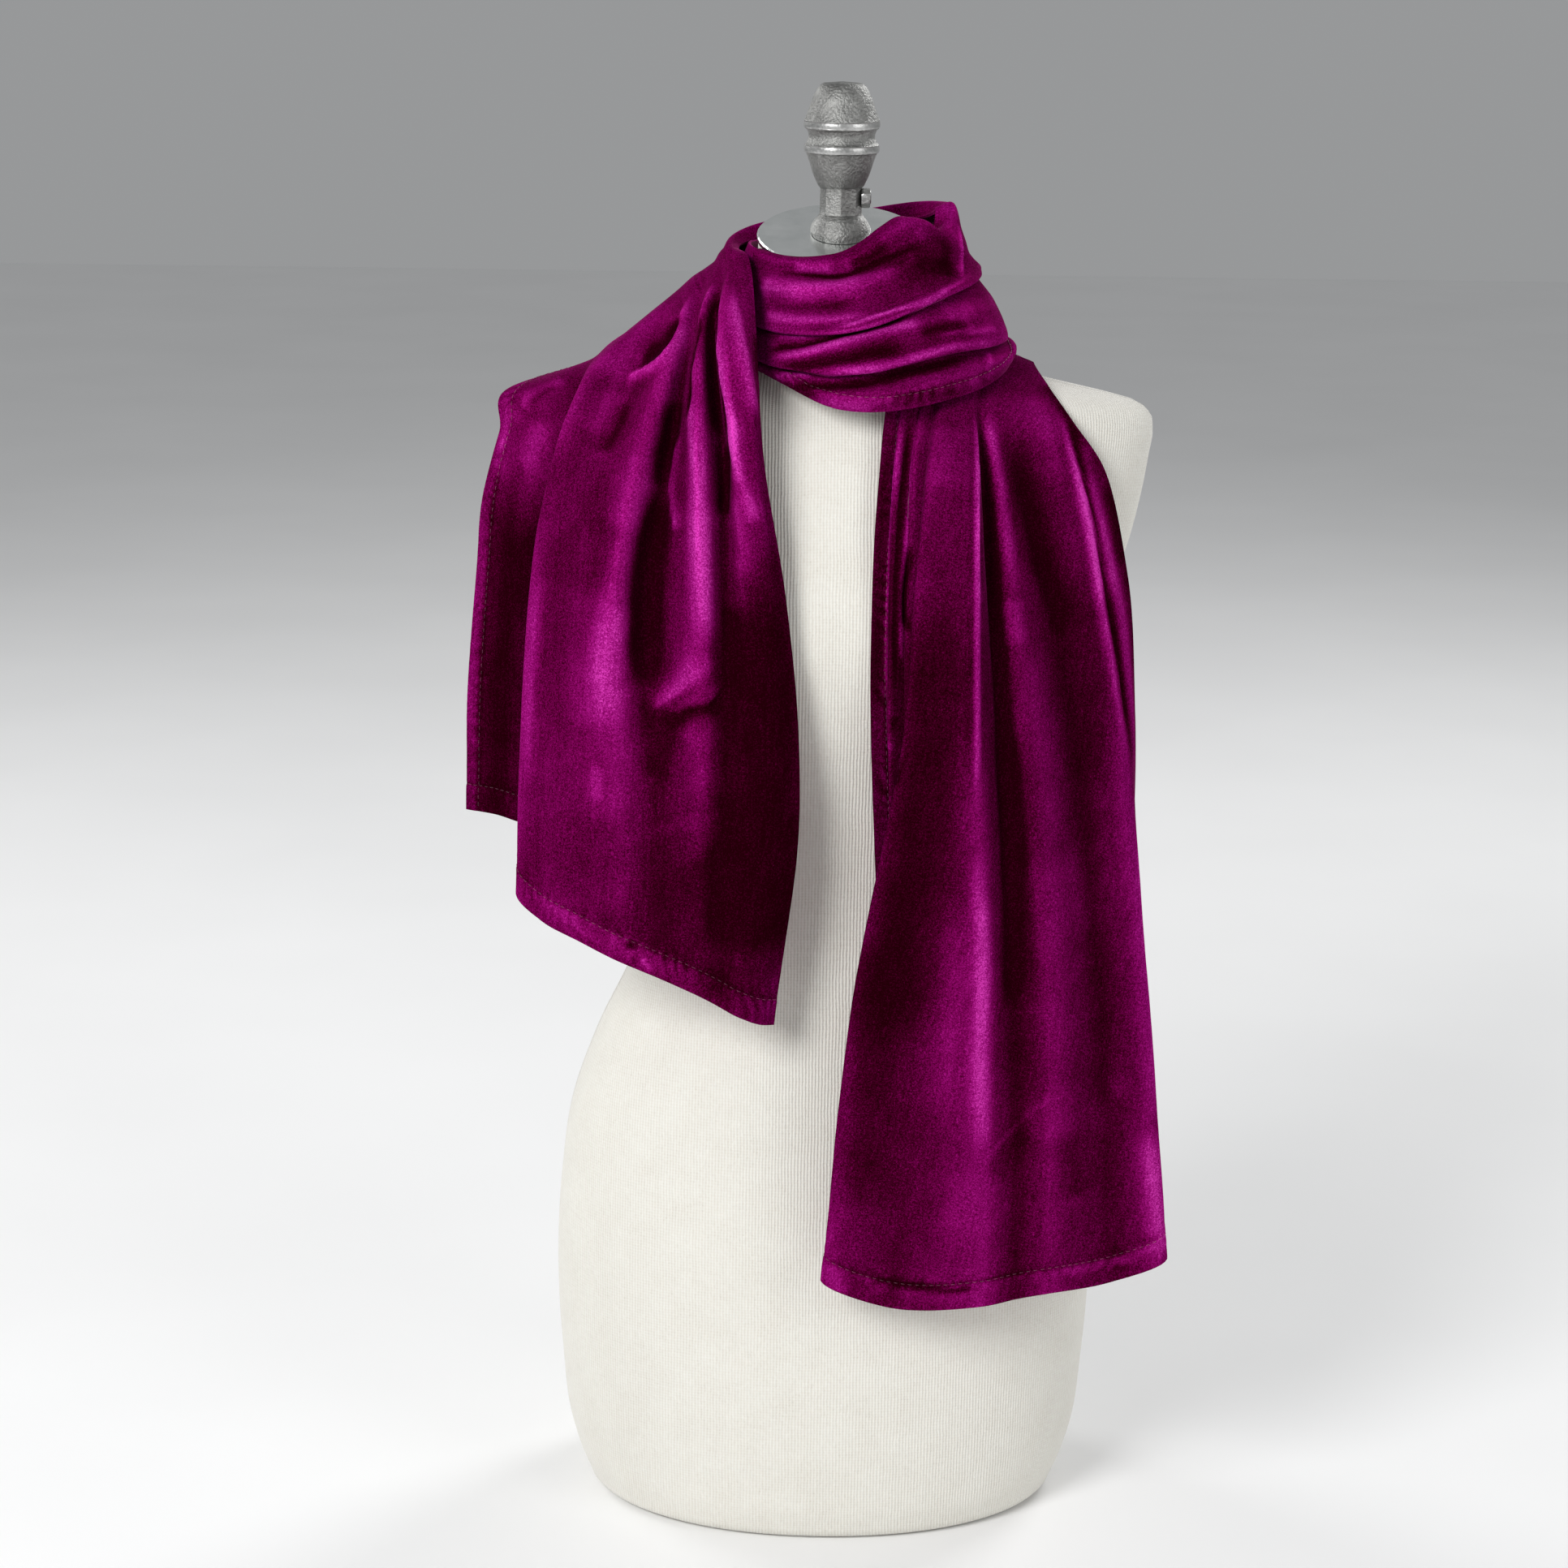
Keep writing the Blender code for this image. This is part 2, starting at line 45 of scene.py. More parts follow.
# a smooth curve through control points that sit at the given knots
def curveThrough(knots, controls, wanted):
    knots = np.asarray(knots, float)
    controls = np.asarray(controls, float)
    slopes = np.empty_like(controls)
    steps = np.diff(knots)
    chords = np.diff(controls, axis=0) / steps[:, None]
    slopes[0], slopes[-1] = chords[0], chords[-1]
    weight = (steps[1:] / (steps[:-1] + steps[1:]))[:, None]
    slopes[1:-1] = chords[:-1] * weight + chords[1:] * (1 - weight)
    wanted = np.clip(wanted, knots[0], knots[-1])
    span = np.clip(np.searchsorted(knots, wanted, side="right") - 1, 0, len(steps) - 1)
    width = steps[span]
    t = ((wanted - knots[span]) / width)[:, None]
    width = width[:, None]
    return ((2 * t**3 - 3 * t**2 + 1) * controls[span]
            + (t**3 - 2 * t**2 + t) * width * slopes[span]
            + (3 * t**2 - 2 * t**3) * controls[span + 1]
            + (t**3 - t**2) * width * slopes[span + 1])


def smoothStep(value):
    value = np.clip(value, 0.0, 1.0)
    return value * value * (3 - 2 * value)


# wraps one node socket, so that shader maths reads as maths
class Shade:
    def __init__(self, tree, socket=None):
        self.tree = tree
        self.socket = socket

    def node(self, kind, settings=None, inputs=None, output=0):
        made = self.tree.nodes.new(kind)
        for key, value in (settings or {}).items():
            if key == "stops":
                ramp = made.color_ramp
                while len(ramp.elements) < len(value):
                    ramp.elements.new(0.5)
                for element, (place, colour) in zip(ramp.elements, value):
                    element.position = place
                    element.color = (*colour, 1.0)
            else:
                setattr(made, key, value)
        self.plug(made, inputs or {})
        return Shade(self.tree, made.outputs[output])

    def plug(self, made, inputs):
        for key, value in inputs.items():
            if isinstance(value, Shade):
                self.tree.links.new(value.socket, made.inputs[key])
            else:
                made.inputs[key].default_value = value

    def maths(self, operation, first, second):
        return self.node("ShaderNodeMath", {"operation": operation}, {0: first, 1: second})

    def __add__(self, other):
        return self.maths("ADD", self, other)

    def __radd__(self, other):
        return self.maths("ADD", other, self)

    def __sub__(self, other):
        return self.maths("SUBTRACT", self, other)

    def __rsub__(self, other):
        return self.maths("SUBTRACT", other, self)

    def __mul__(self, other):
        return self.maths("MULTIPLY", self, other)

    def __rmul__(self, other):
        return self.maths("MULTIPLY", other, self)


# the nodes that several finishes share
def attribute(shade, name):
    return shade.node("ShaderNodeAttribute", {"attribute_name": name}, output="Fac")


def speckle(shade, place, scale, detail=2.0, roughness=0.5):
    return shade.node("ShaderNodeTexNoise", inputs={
        "Vector": place, "Scale": scale, "Detail": detail, "Roughness": roughness})


def ribs(shade, way, pitch, wander):
    return shade.node("ShaderNodeMath", {"operation": "SINE"}, {0: way * (2 * math.pi / pitch) + wander})


def colourRamp(shade, tone, stops):
    return shade.node("ShaderNodeValToRGB", {"stops": stops}, {"Fac": tone})


def bumped(shade, height, strength, distance):
    return shade.node("ShaderNodeBump", inputs={"Strength": strength, "Distance": distance, "Height": height})


# a material, the wrapper that adds its nodes, its surface shader and the object's own coordinates
def newMaterial(name, fixed):
    material = bpy.data.materials.new(name)
    material.use_nodes = True
    shade = Shade(material.node_tree)
    shader = material.node_tree.nodes["Principled BSDF"]
    shade.plug(shader, fixed)
    return material, shade, shader, shade.node("ShaderNodeTexCoord", output="Object")


def newMesh(name, points, faces, materials):
    mesh = bpy.data.meshes.new(name)
    mesh.from_pydata([tuple(map(float, p)) for p in points], [], faces)
    for material in materials:
        mesh.materials.append(material)
    mesh.update()
    mesh.shade_smooth()
    piece = bpy.data.objects.new(name, mesh)
    bpy.context.scene.collection.objects.link(piece)
    return piece


# four-sided faces that join rings of points, counted ring by ring
def ringFaces(rings, count):
    return [(r * count + k, r * count + (k + 1) % count, (r + 1) * count + (k + 1) % count, (r + 1) * count + k)
            for r in range(rings - 1) for k in range(count)]


def addAttribute(piece, name, values):
    layer = piece.data.attributes.new(name, "FLOAT", "POINT")
    layer.data.foreach_set("value", np.asarray(values, np.float32).ravel())


def applyModifiers(piece):
    bpy.context.view_layer.objects.active = piece
    for modifier in list(piece.modifiers):
        bpy.ops.object.modifier_apply(modifier=modifier.name)


# velvet, its knitted wrong side and the thread; each bump is its strength and its depth in metres
velvetFinish = {
    # the ramp that the pile tone reads runs from deep, painted shade, to gleam, painted highlight
    "deep": (0.014, 0.0, 0.002), "shade": (0.052, 0.0, 0.014), "body": (0.163, 0.001, 0.073),
    "light": (0.325, 0.006, 0.184), "gleam": (0.64, 0.045, 0.43),
    "thread": (0.56, 0.08, 0.30), "threadDull": (0.22, 0.01, 0.09),
    "grain": 1100.0, "sparkle": 605.0, "clouds": 42.0, "brushedAcross": 0.45, "brushedAlong": 0.035,
    "grainTone": 1.10, "sparkleTone": 0.22, "cloudTone": 0.20, "brushedTone": 0.20,
    "roughness": 0.48, "roughnessGrain": 0.25, "metallic": 0.35, "metallicFrom": 0.3, "bump": (0.35, 0.0006),
    "sheen": 0.30, "sheenRoughness": 0.22, "sheenTint": (0.95, 0.13, 0.52, 1.0),
    "gleamTint": (0.95, 0.12, 0.58, 1.0),
    "backRoughness": 0.7, "backSheen": 0.25, "backFuzz": 700.0, "ribPitch": 1.15, "ribWander": 1.5,
    "backTone": 0.42, "ribTone": 0.16, "fuzzTone": 0.2, "backBump": (0.5, 0.0005),
    "threadRoughness": 0.5, "threadFuzz": 400.0, "threadFuzzTone": 0.8,
}


def velvetMaterial():
    f = velvetFinish
    material, shade, shader, place = newMaterial("velvetPile", {
        "Sheen Weight": f["sheen"], "Sheen Roughness": f["sheenRoughness"], "Sheen Tint": f["sheenTint"],
        "Specular IOR Level": 0.0, "Specular Tint": f["gleamTint"]})
    pile, across, along = [attribute(shade, name) for name in ("pile", "across", "along")]
    grain = speckle(shade, place, f["grain"], 2.0, 0.7)
    clouds = speckle(shade, place, f["clouds"], 4.0)
    sparkle = speckle(shade, place, f["sparkle"], 1.0)
    brushed = shade.node("ShaderNodeCombineXYZ", inputs={
        "X": across * f["brushedAcross"], "Y": along * f["brushedAlong"]})
    streaks = speckle(shade, brushed, 1.0, 3.0)
    # the pile tone carries painted light and shade; the noises add grain at random
    tone = (pile + (grain - 0.5) * f["grainTone"] + (clouds - 0.5) * f["cloudTone"]
            + (sparkle - 0.5) * f["sparkleTone"] + (streaks - 0.5) * f["brushedTone"])
    shade.plug(shader, {
        "Base Color": colourRamp(shade, tone, [(0.0, f["deep"]), (0.25, f["shade"]), (0.5, f["body"]),
                                               (0.75, f["light"]), (1.0, f["gleam"])]),
        "Roughness": f["roughness"] + (grain - 0.5) * f["roughnessGrain"],
        "Metallic": (pile - f["metallicFrom"]) * f["metallic"],
        "Normal": bumped(shade, grain, *f["bump"])})
    return material


def wrongSideMaterial():
    f = velvetFinish
    material, shade, shader, place = newMaterial("velvetWrongSide", {
        "Roughness": f["backRoughness"], "Sheen Weight": f["backSheen"], "Sheen Tint": f["sheenTint"]})
    fuzz = speckle(shade, place, f["backFuzz"])
    rib = ribs(shade, attribute(shade, "across"), f["ribPitch"], fuzz * f["ribWander"])
    tone = f["backTone"] + rib * f["ribTone"] + (fuzz - 0.5) * f["fuzzTone"]
    shade.plug(shader, {
        "Base Color": colourRamp(shade, tone, [(0.0, f["shade"]), (0.5, f["body"]), (1.0, f["light"])]),
        "Normal": bumped(shade, rib * 0.5 + fuzz, *f["backBump"])})
    return material


def threadMaterial():
    f = velvetFinish
    material, shade, shader, place = newMaterial("hemThread", {"Roughness": f["threadRoughness"]})
    fuzz = speckle(shade, place, f["threadFuzz"])
    # the thread's colour follows the pile tone of the cloth under it, painted light and shade included
    tone = attribute(shade, "pile") + (fuzz - 0.5) * f["threadFuzzTone"]
    shade.plug(shader, {"Base Color": colourRamp(shade, tone, [
        (0.0, f["shade"]), (0.45, f["threadDull"]), (0.9, f["thread"])])})
    return material


velvet = velvetMaterial()
wrongSide = wrongSideMaterial()
thread = threadMaterial()
print("velvet made")

# how every stretch of the scarf is drawn: lengths in millimetres
cloth = {
    "thickness": 1.7, "turnStep": 12,                            # degrees between two sections round the neck
    "wobble": 0.45, "wobbleSize": 55.0, "crinkle": 0.06, "crinkleSize": 9.0,
    # the hem band is a little lighter, its stitched dip gets painted shade and its puckers painted light and shade
    "selvedgeStitch": 10.0, "endStitch": 17.0, "hemStep": 0.45, "hemEdge": 0.4, "hemTone": 0.03,
    "dip": 0.3, "dipWidth": 1.1, "dipPaintedShade": 0.05,
    "pucker": 0.24, "puckerPitch": 9.0, "puckerLightAndShade": 0.06,
    # crests get painted highlight and hollows painted shade, held between darkest and lightest
    "crestReach": 3, "crestLightAndShade": 0.30, "flatEnough": 0.05, "darkest": -0.22, "lightest": 0.20,
    "sharpAngle": math.radians(65),
}
# how a stroke is laid on the cloth, and how soft its relief and its tone, the painted light or shade, are
stroke = {
    "pointsPerStep": 10, "widthsAround": 3, "margin": 6, "touch": 4.0, "layerDepth": 9.0, "levelled": 4,
    "fadedShare": 0.25, "fadedFrom": 0.05, "softness": 1.7, "toneSoftness": 0.7,
}
# a stitch: its sections are the share of its length, its size there and its rise off the cloth
stitch = {
    "length": 2.9, "gap": 1.7, "width": 0.55, "sides": 5, "firstAt": 1.0, "sunk": 0.12,
    "sections": ((0.0, 0.25, 0.0), (0.25, 0.5, 0.30), (0.75, 0.5, 0.30), (1.0, 0.25, 0.0)),
}


def fromDirections(rounds):
    angle = np.radians(rounds[..., 0])
    return np.stack([rounds[..., 1] * np.sin(angle), -rounds[..., 1] * np.cos(angle), rounds[..., 2]], axis=-1)


def toDirections(points):
    angle = np.degrees(np.arctan2(points[..., 0], -points[..., 1])) % 360
    return np.stack([angle, np.hypot(points[..., 0], points[..., 1]), points[..., 2]], axis=-1)


def tailLines(folds, stations):
    return np.array([[(x, -front, top + (hem - top) * share)
                      for x, front, share in zip(sideways, inFront, stations)]
                     for _, top, hem, sideways, inFront in folds], float) * mm


def turnLines(folds, directions):
    return np.array([[(angle, distance * mm, height * mm)
                      for angle, distance, height in zip(directions, distances, heights)]
                     for _, heights, distances in folds], float)


# a turn's folds read every few degrees, so that they run round and not across
def roundTheNeck(lines):
    heading = lines[..., 0].mean(axis=0)
    count = int(round((heading[-1] - heading[0]) / cloth["turnStep"]))
    wanted = np.linspace(heading[0], heading[-1], count + 1)
    return fromDirections(np.stack([curveThrough(heading, line, wanted) for line in lines]))


def distancesAlong(lines):
    reach = np.linalg.norm(np.diff(lines, axis=1), axis=2).mean(axis=0)
    return np.concatenate([[0.0], np.cumsum(reach)])


# grid of points drawn through the fold lines: [row along the strip][place across it]
def sheetPoints(lines, steps, rows):
    along = distancesAlong(lines)
    places = np.linspace(0.0, along[-1], rows)
    drawn = np.stack([curveThrough(along, line, places) for line in lines])
    grid = []
    for section in np.swapaxes(drawn, 0, 1):
        spacing = np.sqrt(np.linalg.norm(np.diff(section, axis=0), axis=1))
        knots = np.concatenate([[0.0], np.cumsum(spacing)])
        wanted = [knots[k] + (knots[k + 1] - knots[k]) * j / steps
                  for k in range(len(spacing)) for j in range(steps)]
        grid.append(curveThrough(knots, section, np.array(wanted + [knots[-1]])))
    return np.array(grid)


def gridNormals(grid):
    normals = np.cross(np.gradient(grid, axis=0), np.gradient(grid, axis=1))
    return normals / np.maximum(np.linalg.norm(normals, axis=2, keepdims=True), 1e-12)


# a stroke runs through places given sideways and up in millimetres, as seen from a direction, on the nearest layer;
# its width is one number, or one for the right and one for the left of the way it runs
def strokeShape(grid, seenFrom, width, places):
    points = grid.reshape(-1, 3) / mm
    turn = math.radians(seenFrom)
    sideways = points[:, 0] * math.cos(turn) + points[:, 1] * math.sin(turn)
    depth = points[:, 1] * math.cos(turn) - points[:, 0] * math.sin(turn)
    seen = np.stack([sideways, points[:, 2], depth], axis=1)
    knots = np.arange(len(places), dtype=float)
    wanted = np.linspace(0, knots[-1], stroke["pointsPerStep"] * (len(places) - 1) + 1)
    fine = curveThrough(knots, np.array(places, float), wanted)
    widths = np.broadcast_to(np.array(width, float), (2,))
    reach = stroke["widthsAround"] * widths.max() + stroke["margin"]
    inside = (seen[:, :2] > fine.min(axis=0) - reach) & (seen[:, :2] < fine.max(axis=0) + reach)
    near = np.where(inside.all(axis=1))[0]
    local = seen[near]
    depths = []
    for side, up in fine:
        away = np.hypot(local[:, 0] - side, local[:, 1] - up)
        close = away < max(stroke["touch"], away.min() + 1.0)
        outer = np.where(close & (local[:, 2] < local[close, 2].min() + stroke["layerDepth"]))[0]
        depths.append(local[outer[away[outer].argmin()], 2])
    around = 2 * stroke["levelled"] + 1
    depths = np.convolve(np.pad(depths, stroke["levelled"], mode="edge"), np.ones(around) / around, "valid")
    line = np.column_stack([fine, depths])
    nearest = np.full(len(local), 1e9)
    position, beside = np.zeros(len(local)), np.zeros(len(local))
    for k in range(len(line) - 1):
        run = line[k + 1] - line[k]
        t = np.clip((local - line[k]) @ run / max(run @ run, 1e-9), 0, 1)
        offset = local - line[k] - t[:, None] * run
        away = np.linalg.norm(offset, axis=1)
        closer = away < nearest
        nearest[closer] = away[closer]
        position[closer] = (k + t[closer]) / (len(line) - 1)
        beside[closer] = (run[0] * offset[:, 1] - run[1] * offset[:, 0])[closer]
    fade = (smoothStep(position / stroke["fadedShare"] + stroke["fadedFrom"])
            * smoothStep((1 - position) / stroke["fadedShare"] + stroke["fadedFrom"]))
    shape = np.zeros(len(points))
    shape[near] = np.exp(-(nearest / np.where(beside > 0, widths[1], widths[0])) ** stroke["softness"]) * fade
    return shape.reshape(grid.shape[:2])


def noiseField(grid, size, seed):
    points = grid.reshape(-1, 3) / (size * mm)
    values = [noise.noise((x + seed, y - seed, z)) for x, y, z in points]
    return np.array(values).reshape(grid.shape[:2])


# every point replaced by the mean of its neighbours within a few steps
def smoothed(grid, reach):
    around = 2 * reach + 1
    for axis in (0, 1):
        ends = [(reach, reach) if k == axis else (0, 0) for k in range(3)]
        padded = np.pad(grid, ends, mode="reflect", reflect_type="odd")
        total = np.cumsum(padded, axis=axis)
        total = np.concatenate([np.zeros_like(np.take(total, [0], axis=axis)), total], axis=axis)
        count = grid.shape[axis]
        grid = (np.take(total, range(around, around + count), axis=axis)
                - np.take(total, range(count), axis=axis)) / around
    return grid


# distances in millimetres across and along a grid
def gridDistances(grid):
    acrossWay = np.linalg.norm(np.diff(grid, axis=1), axis=2)
    alongWay = np.linalg.norm(np.diff(grid, axis=0), axis=2)
    across = np.concatenate([np.zeros((grid.shape[0], 1)), np.cumsum(acrossWay, axis=1)], axis=1) / mm
    along = np.concatenate([np.zeros((1, grid.shape[1])), np.cumsum(alongWay, axis=0)], axis=0) / mm
    return across, along


# one stretch of the scarf: its own folds, then creases, hems, stitches and the pile's tone, into which light and
# shade are painted
def makeCloth(name, piece, lines, stitched):
    c = cloth
    grid = sheetPoints(lines, piece["steps"], piece["rows"])
    normals = gridNormals(grid) * piece["outward"]
    across, along = gridDistances(grid)
    lift = np.zeros(grid.shape[:2])
    # the stretch's own velvet tone, set lower on the stretches that look darker, so partly painted shade
    pile = np.full(grid.shape[:2], piece["pileAndShadeLevel"])
    for seenFrom, strokes in piece["strokes"].items():
        for _, width, height, tone, places in strokes:
            shape = strokeShape(grid, seenFrom, width, places)
            lift += height * shape
            # a stroke's tone is painted light or shade: lighter on ridges and edges, darker in creases and beside
            # folds
            pile += tone * shape ** stroke["toneSoftness"]
    lift += c["wobble"] * noiseField(grid, c["wobbleSize"], 3.1)
    lift += c["crinkle"] * noiseField(grid, c["crinkleSize"], 7.7)
    # hems: a doubled band with a stitched dip at its inner edge and small puckers in it; the band is a little
    # lighter, the dip gets painted shade and the puckers painted light and shade
    bands = []
    if "first" in stitched:
        bands.append((across, c["selvedgeStitch"], along))
    if "last" in stitched:
        bands.append((across[:, -1:] - across, c["selvedgeStitch"], along))
    if "end" in stitched:
        bands.append((along[-1:, :] - along, c["endStitch"], across))
    for inward, wide, beside in bands:
        band = smoothStep((wide + c["hemEdge"] - inward) / (2 * c["hemEdge"]))
        dip = np.exp(-((inward - wide) / c["dipWidth"]) ** 2)
        ripple = (np.sin(2 * math.pi * beside / c["puckerPitch"] + 14 * noiseField(grid, 30, 1.3))
                  * np.clip(0.5 + 1.6 * noiseField(grid, 22, 4.9), 0, 1.3))
        ripple *= np.exp(-((inward - wide * 0.9) / (wide * 0.7)) ** 2)
        lift += c["hemStep"] * band - c["dip"] * dip + c["pucker"] * ripple
        pile += c["hemTone"] * band + c["puckerLightAndShade"] * ripple * band - c["dipPaintedShade"] * dip
    grid = grid + normals * (lift * mm)[..., None]
    # painted highlight on every crest and painted shade in every hollow, by how far each point stands out from its
    # smoothed neighbours
    crest = np.einsum("ijk,ijk->ij", grid - smoothed(grid, c["crestReach"]), normals) / mm
    crest = np.sign(crest) * np.maximum(np.abs(crest) - c["flatEnough"], 0)
    pile += np.clip(crest * c["crestLightAndShade"], c["darkest"], c["lightest"])
    rows, columns = grid.shape[:2]
    faces = [(r * columns + k, r * columns + k + 1, (r + 1) * columns + k + 1, (r + 1) * columns + k)
             for r in range(rows - 1) for k in range(columns - 1)]
    if piece["outward"] > 0:
        faces = [face[::-1] for face in faces]
    made = newMesh(name, grid.reshape(-1, 3), faces, [velvet, wrongSide])
    addAttribute(made, "pile", np.clip(pile, 0.0, 1.0))
    addAttribute(made, "across", across)
    addAttribute(made, "along", along)
    wall = made.modifiers.new("wall", "SOLIDIFY")
    wall.thickness = c["thickness"] * mm
    wall.offset = 0.0
    wall.material_offset = 1
    wall.material_offset_rim = 0
    applyModifiers(made)
    made.data.set_sharp_from_angle(angle=c["sharpAngle"])
    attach(made, "root")
    threads = makeStitches(name + "Stitches", piece, grid, pile, across, along, stitched)
    return made, threads


# dashes of thread along the inner edge of each hem
def makeStitches(name, piece, grid, pile, across, along, stitched):
    s = stitch
    normals = np.concatenate([gridNormals(grid) * piece["outward"], pile[..., None]], axis=2)
    paths = []
    if "first" in stitched:
        shown = int(piece["firstStitchFrom"] * len(grid))
        paths.append(hemLine(grid[shown:], normals[shown:], across[shown:], cloth["selvedgeStitch"]))
    if "last" in stitched:
        paths.append(hemLine(grid[:, ::-1], normals[:, ::-1], (across[:, -1:] - across)[:, ::-1],
                             cloth["selvedgeStitch"]))
    if "end" in stitched:
        fromEnd = (along[-1:, :] - along)[::-1]
        paths.append(hemLine(np.swapaxes(grid[::-1], 0, 1), np.swapaxes(normals[::-1], 0, 1), fromEnd.T,
                             cloth["endStitch"]))
    shares, sizes, rises = zip(*s["sections"])
    tube = ringFaces(len(shares), s["sides"])
    count = len(shares) * s["sides"]
    tube += [tuple(reversed(range(s["sides"]))), tuple(range(count - s["sides"], count))]
    points, faces, tones = [], [], []
    for path, up in paths:
        reach = np.concatenate([[0], np.cumsum(np.linalg.norm(np.diff(path, axis=0), axis=1))]) / mm
        start = s["firstAt"]
        while start + s["length"] < reach[-1]:
            places = start + s["length"] * np.array(shares)
            centre = np.stack([np.interp(places, reach, path[:, k]) for k in range(3)], 1)
            lead = np.stack([np.interp(places, reach, up[:, k]) for k in range(3)], 1)
            lead /= np.linalg.norm(lead, axis=1, keepdims=True)
            forward = (centre[-1] - centre[0]) / np.linalg.norm(centre[-1] - centre[0])
            faces += [tuple(len(points) + corner for corner in face) for face in tube]
            # each stitch takes the cloth's pile tone, painted light and shade included
            tones += [np.interp(places[1], reach, up[:, 3])] * count
            for k, (size, rise) in enumerate(zip(sizes, rises)):
                side = np.cross(forward, lead[k])
                middle = centre[k] + lead[k] * (cloth["thickness"] / 2 + rise - s["sunk"]) * mm
                for a in range(s["sides"]):
                    angle = 2 * math.pi * a / s["sides"]
                    points.append(middle + s["width"] * size * mm
                                  * (math.cos(angle) * side + math.sin(angle) * lead[k]))
            start += s["length"] + s["gap"]
    made = newMesh(name, points, faces, [thread])
    addAttribute(made, "pile", np.clip(tones, 0, 1))
    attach(made, "root")
    return made


# the line that lies a fixed distance in from the first column's edge, with the cloth's normal and pile there
def hemLine(grid, normals, inward, wide):
    path, up = [], []
    for row in range(grid.shape[0]):
        if inward[row, -1] > wide:
            path.append([np.interp(wide, inward[row], grid[row, :, k]) for k in range(3)])
            up.append([np.interp(wide, inward[row], normals[row, :, k]) for k in range(4)])
    return np.array(path), np.array(up)


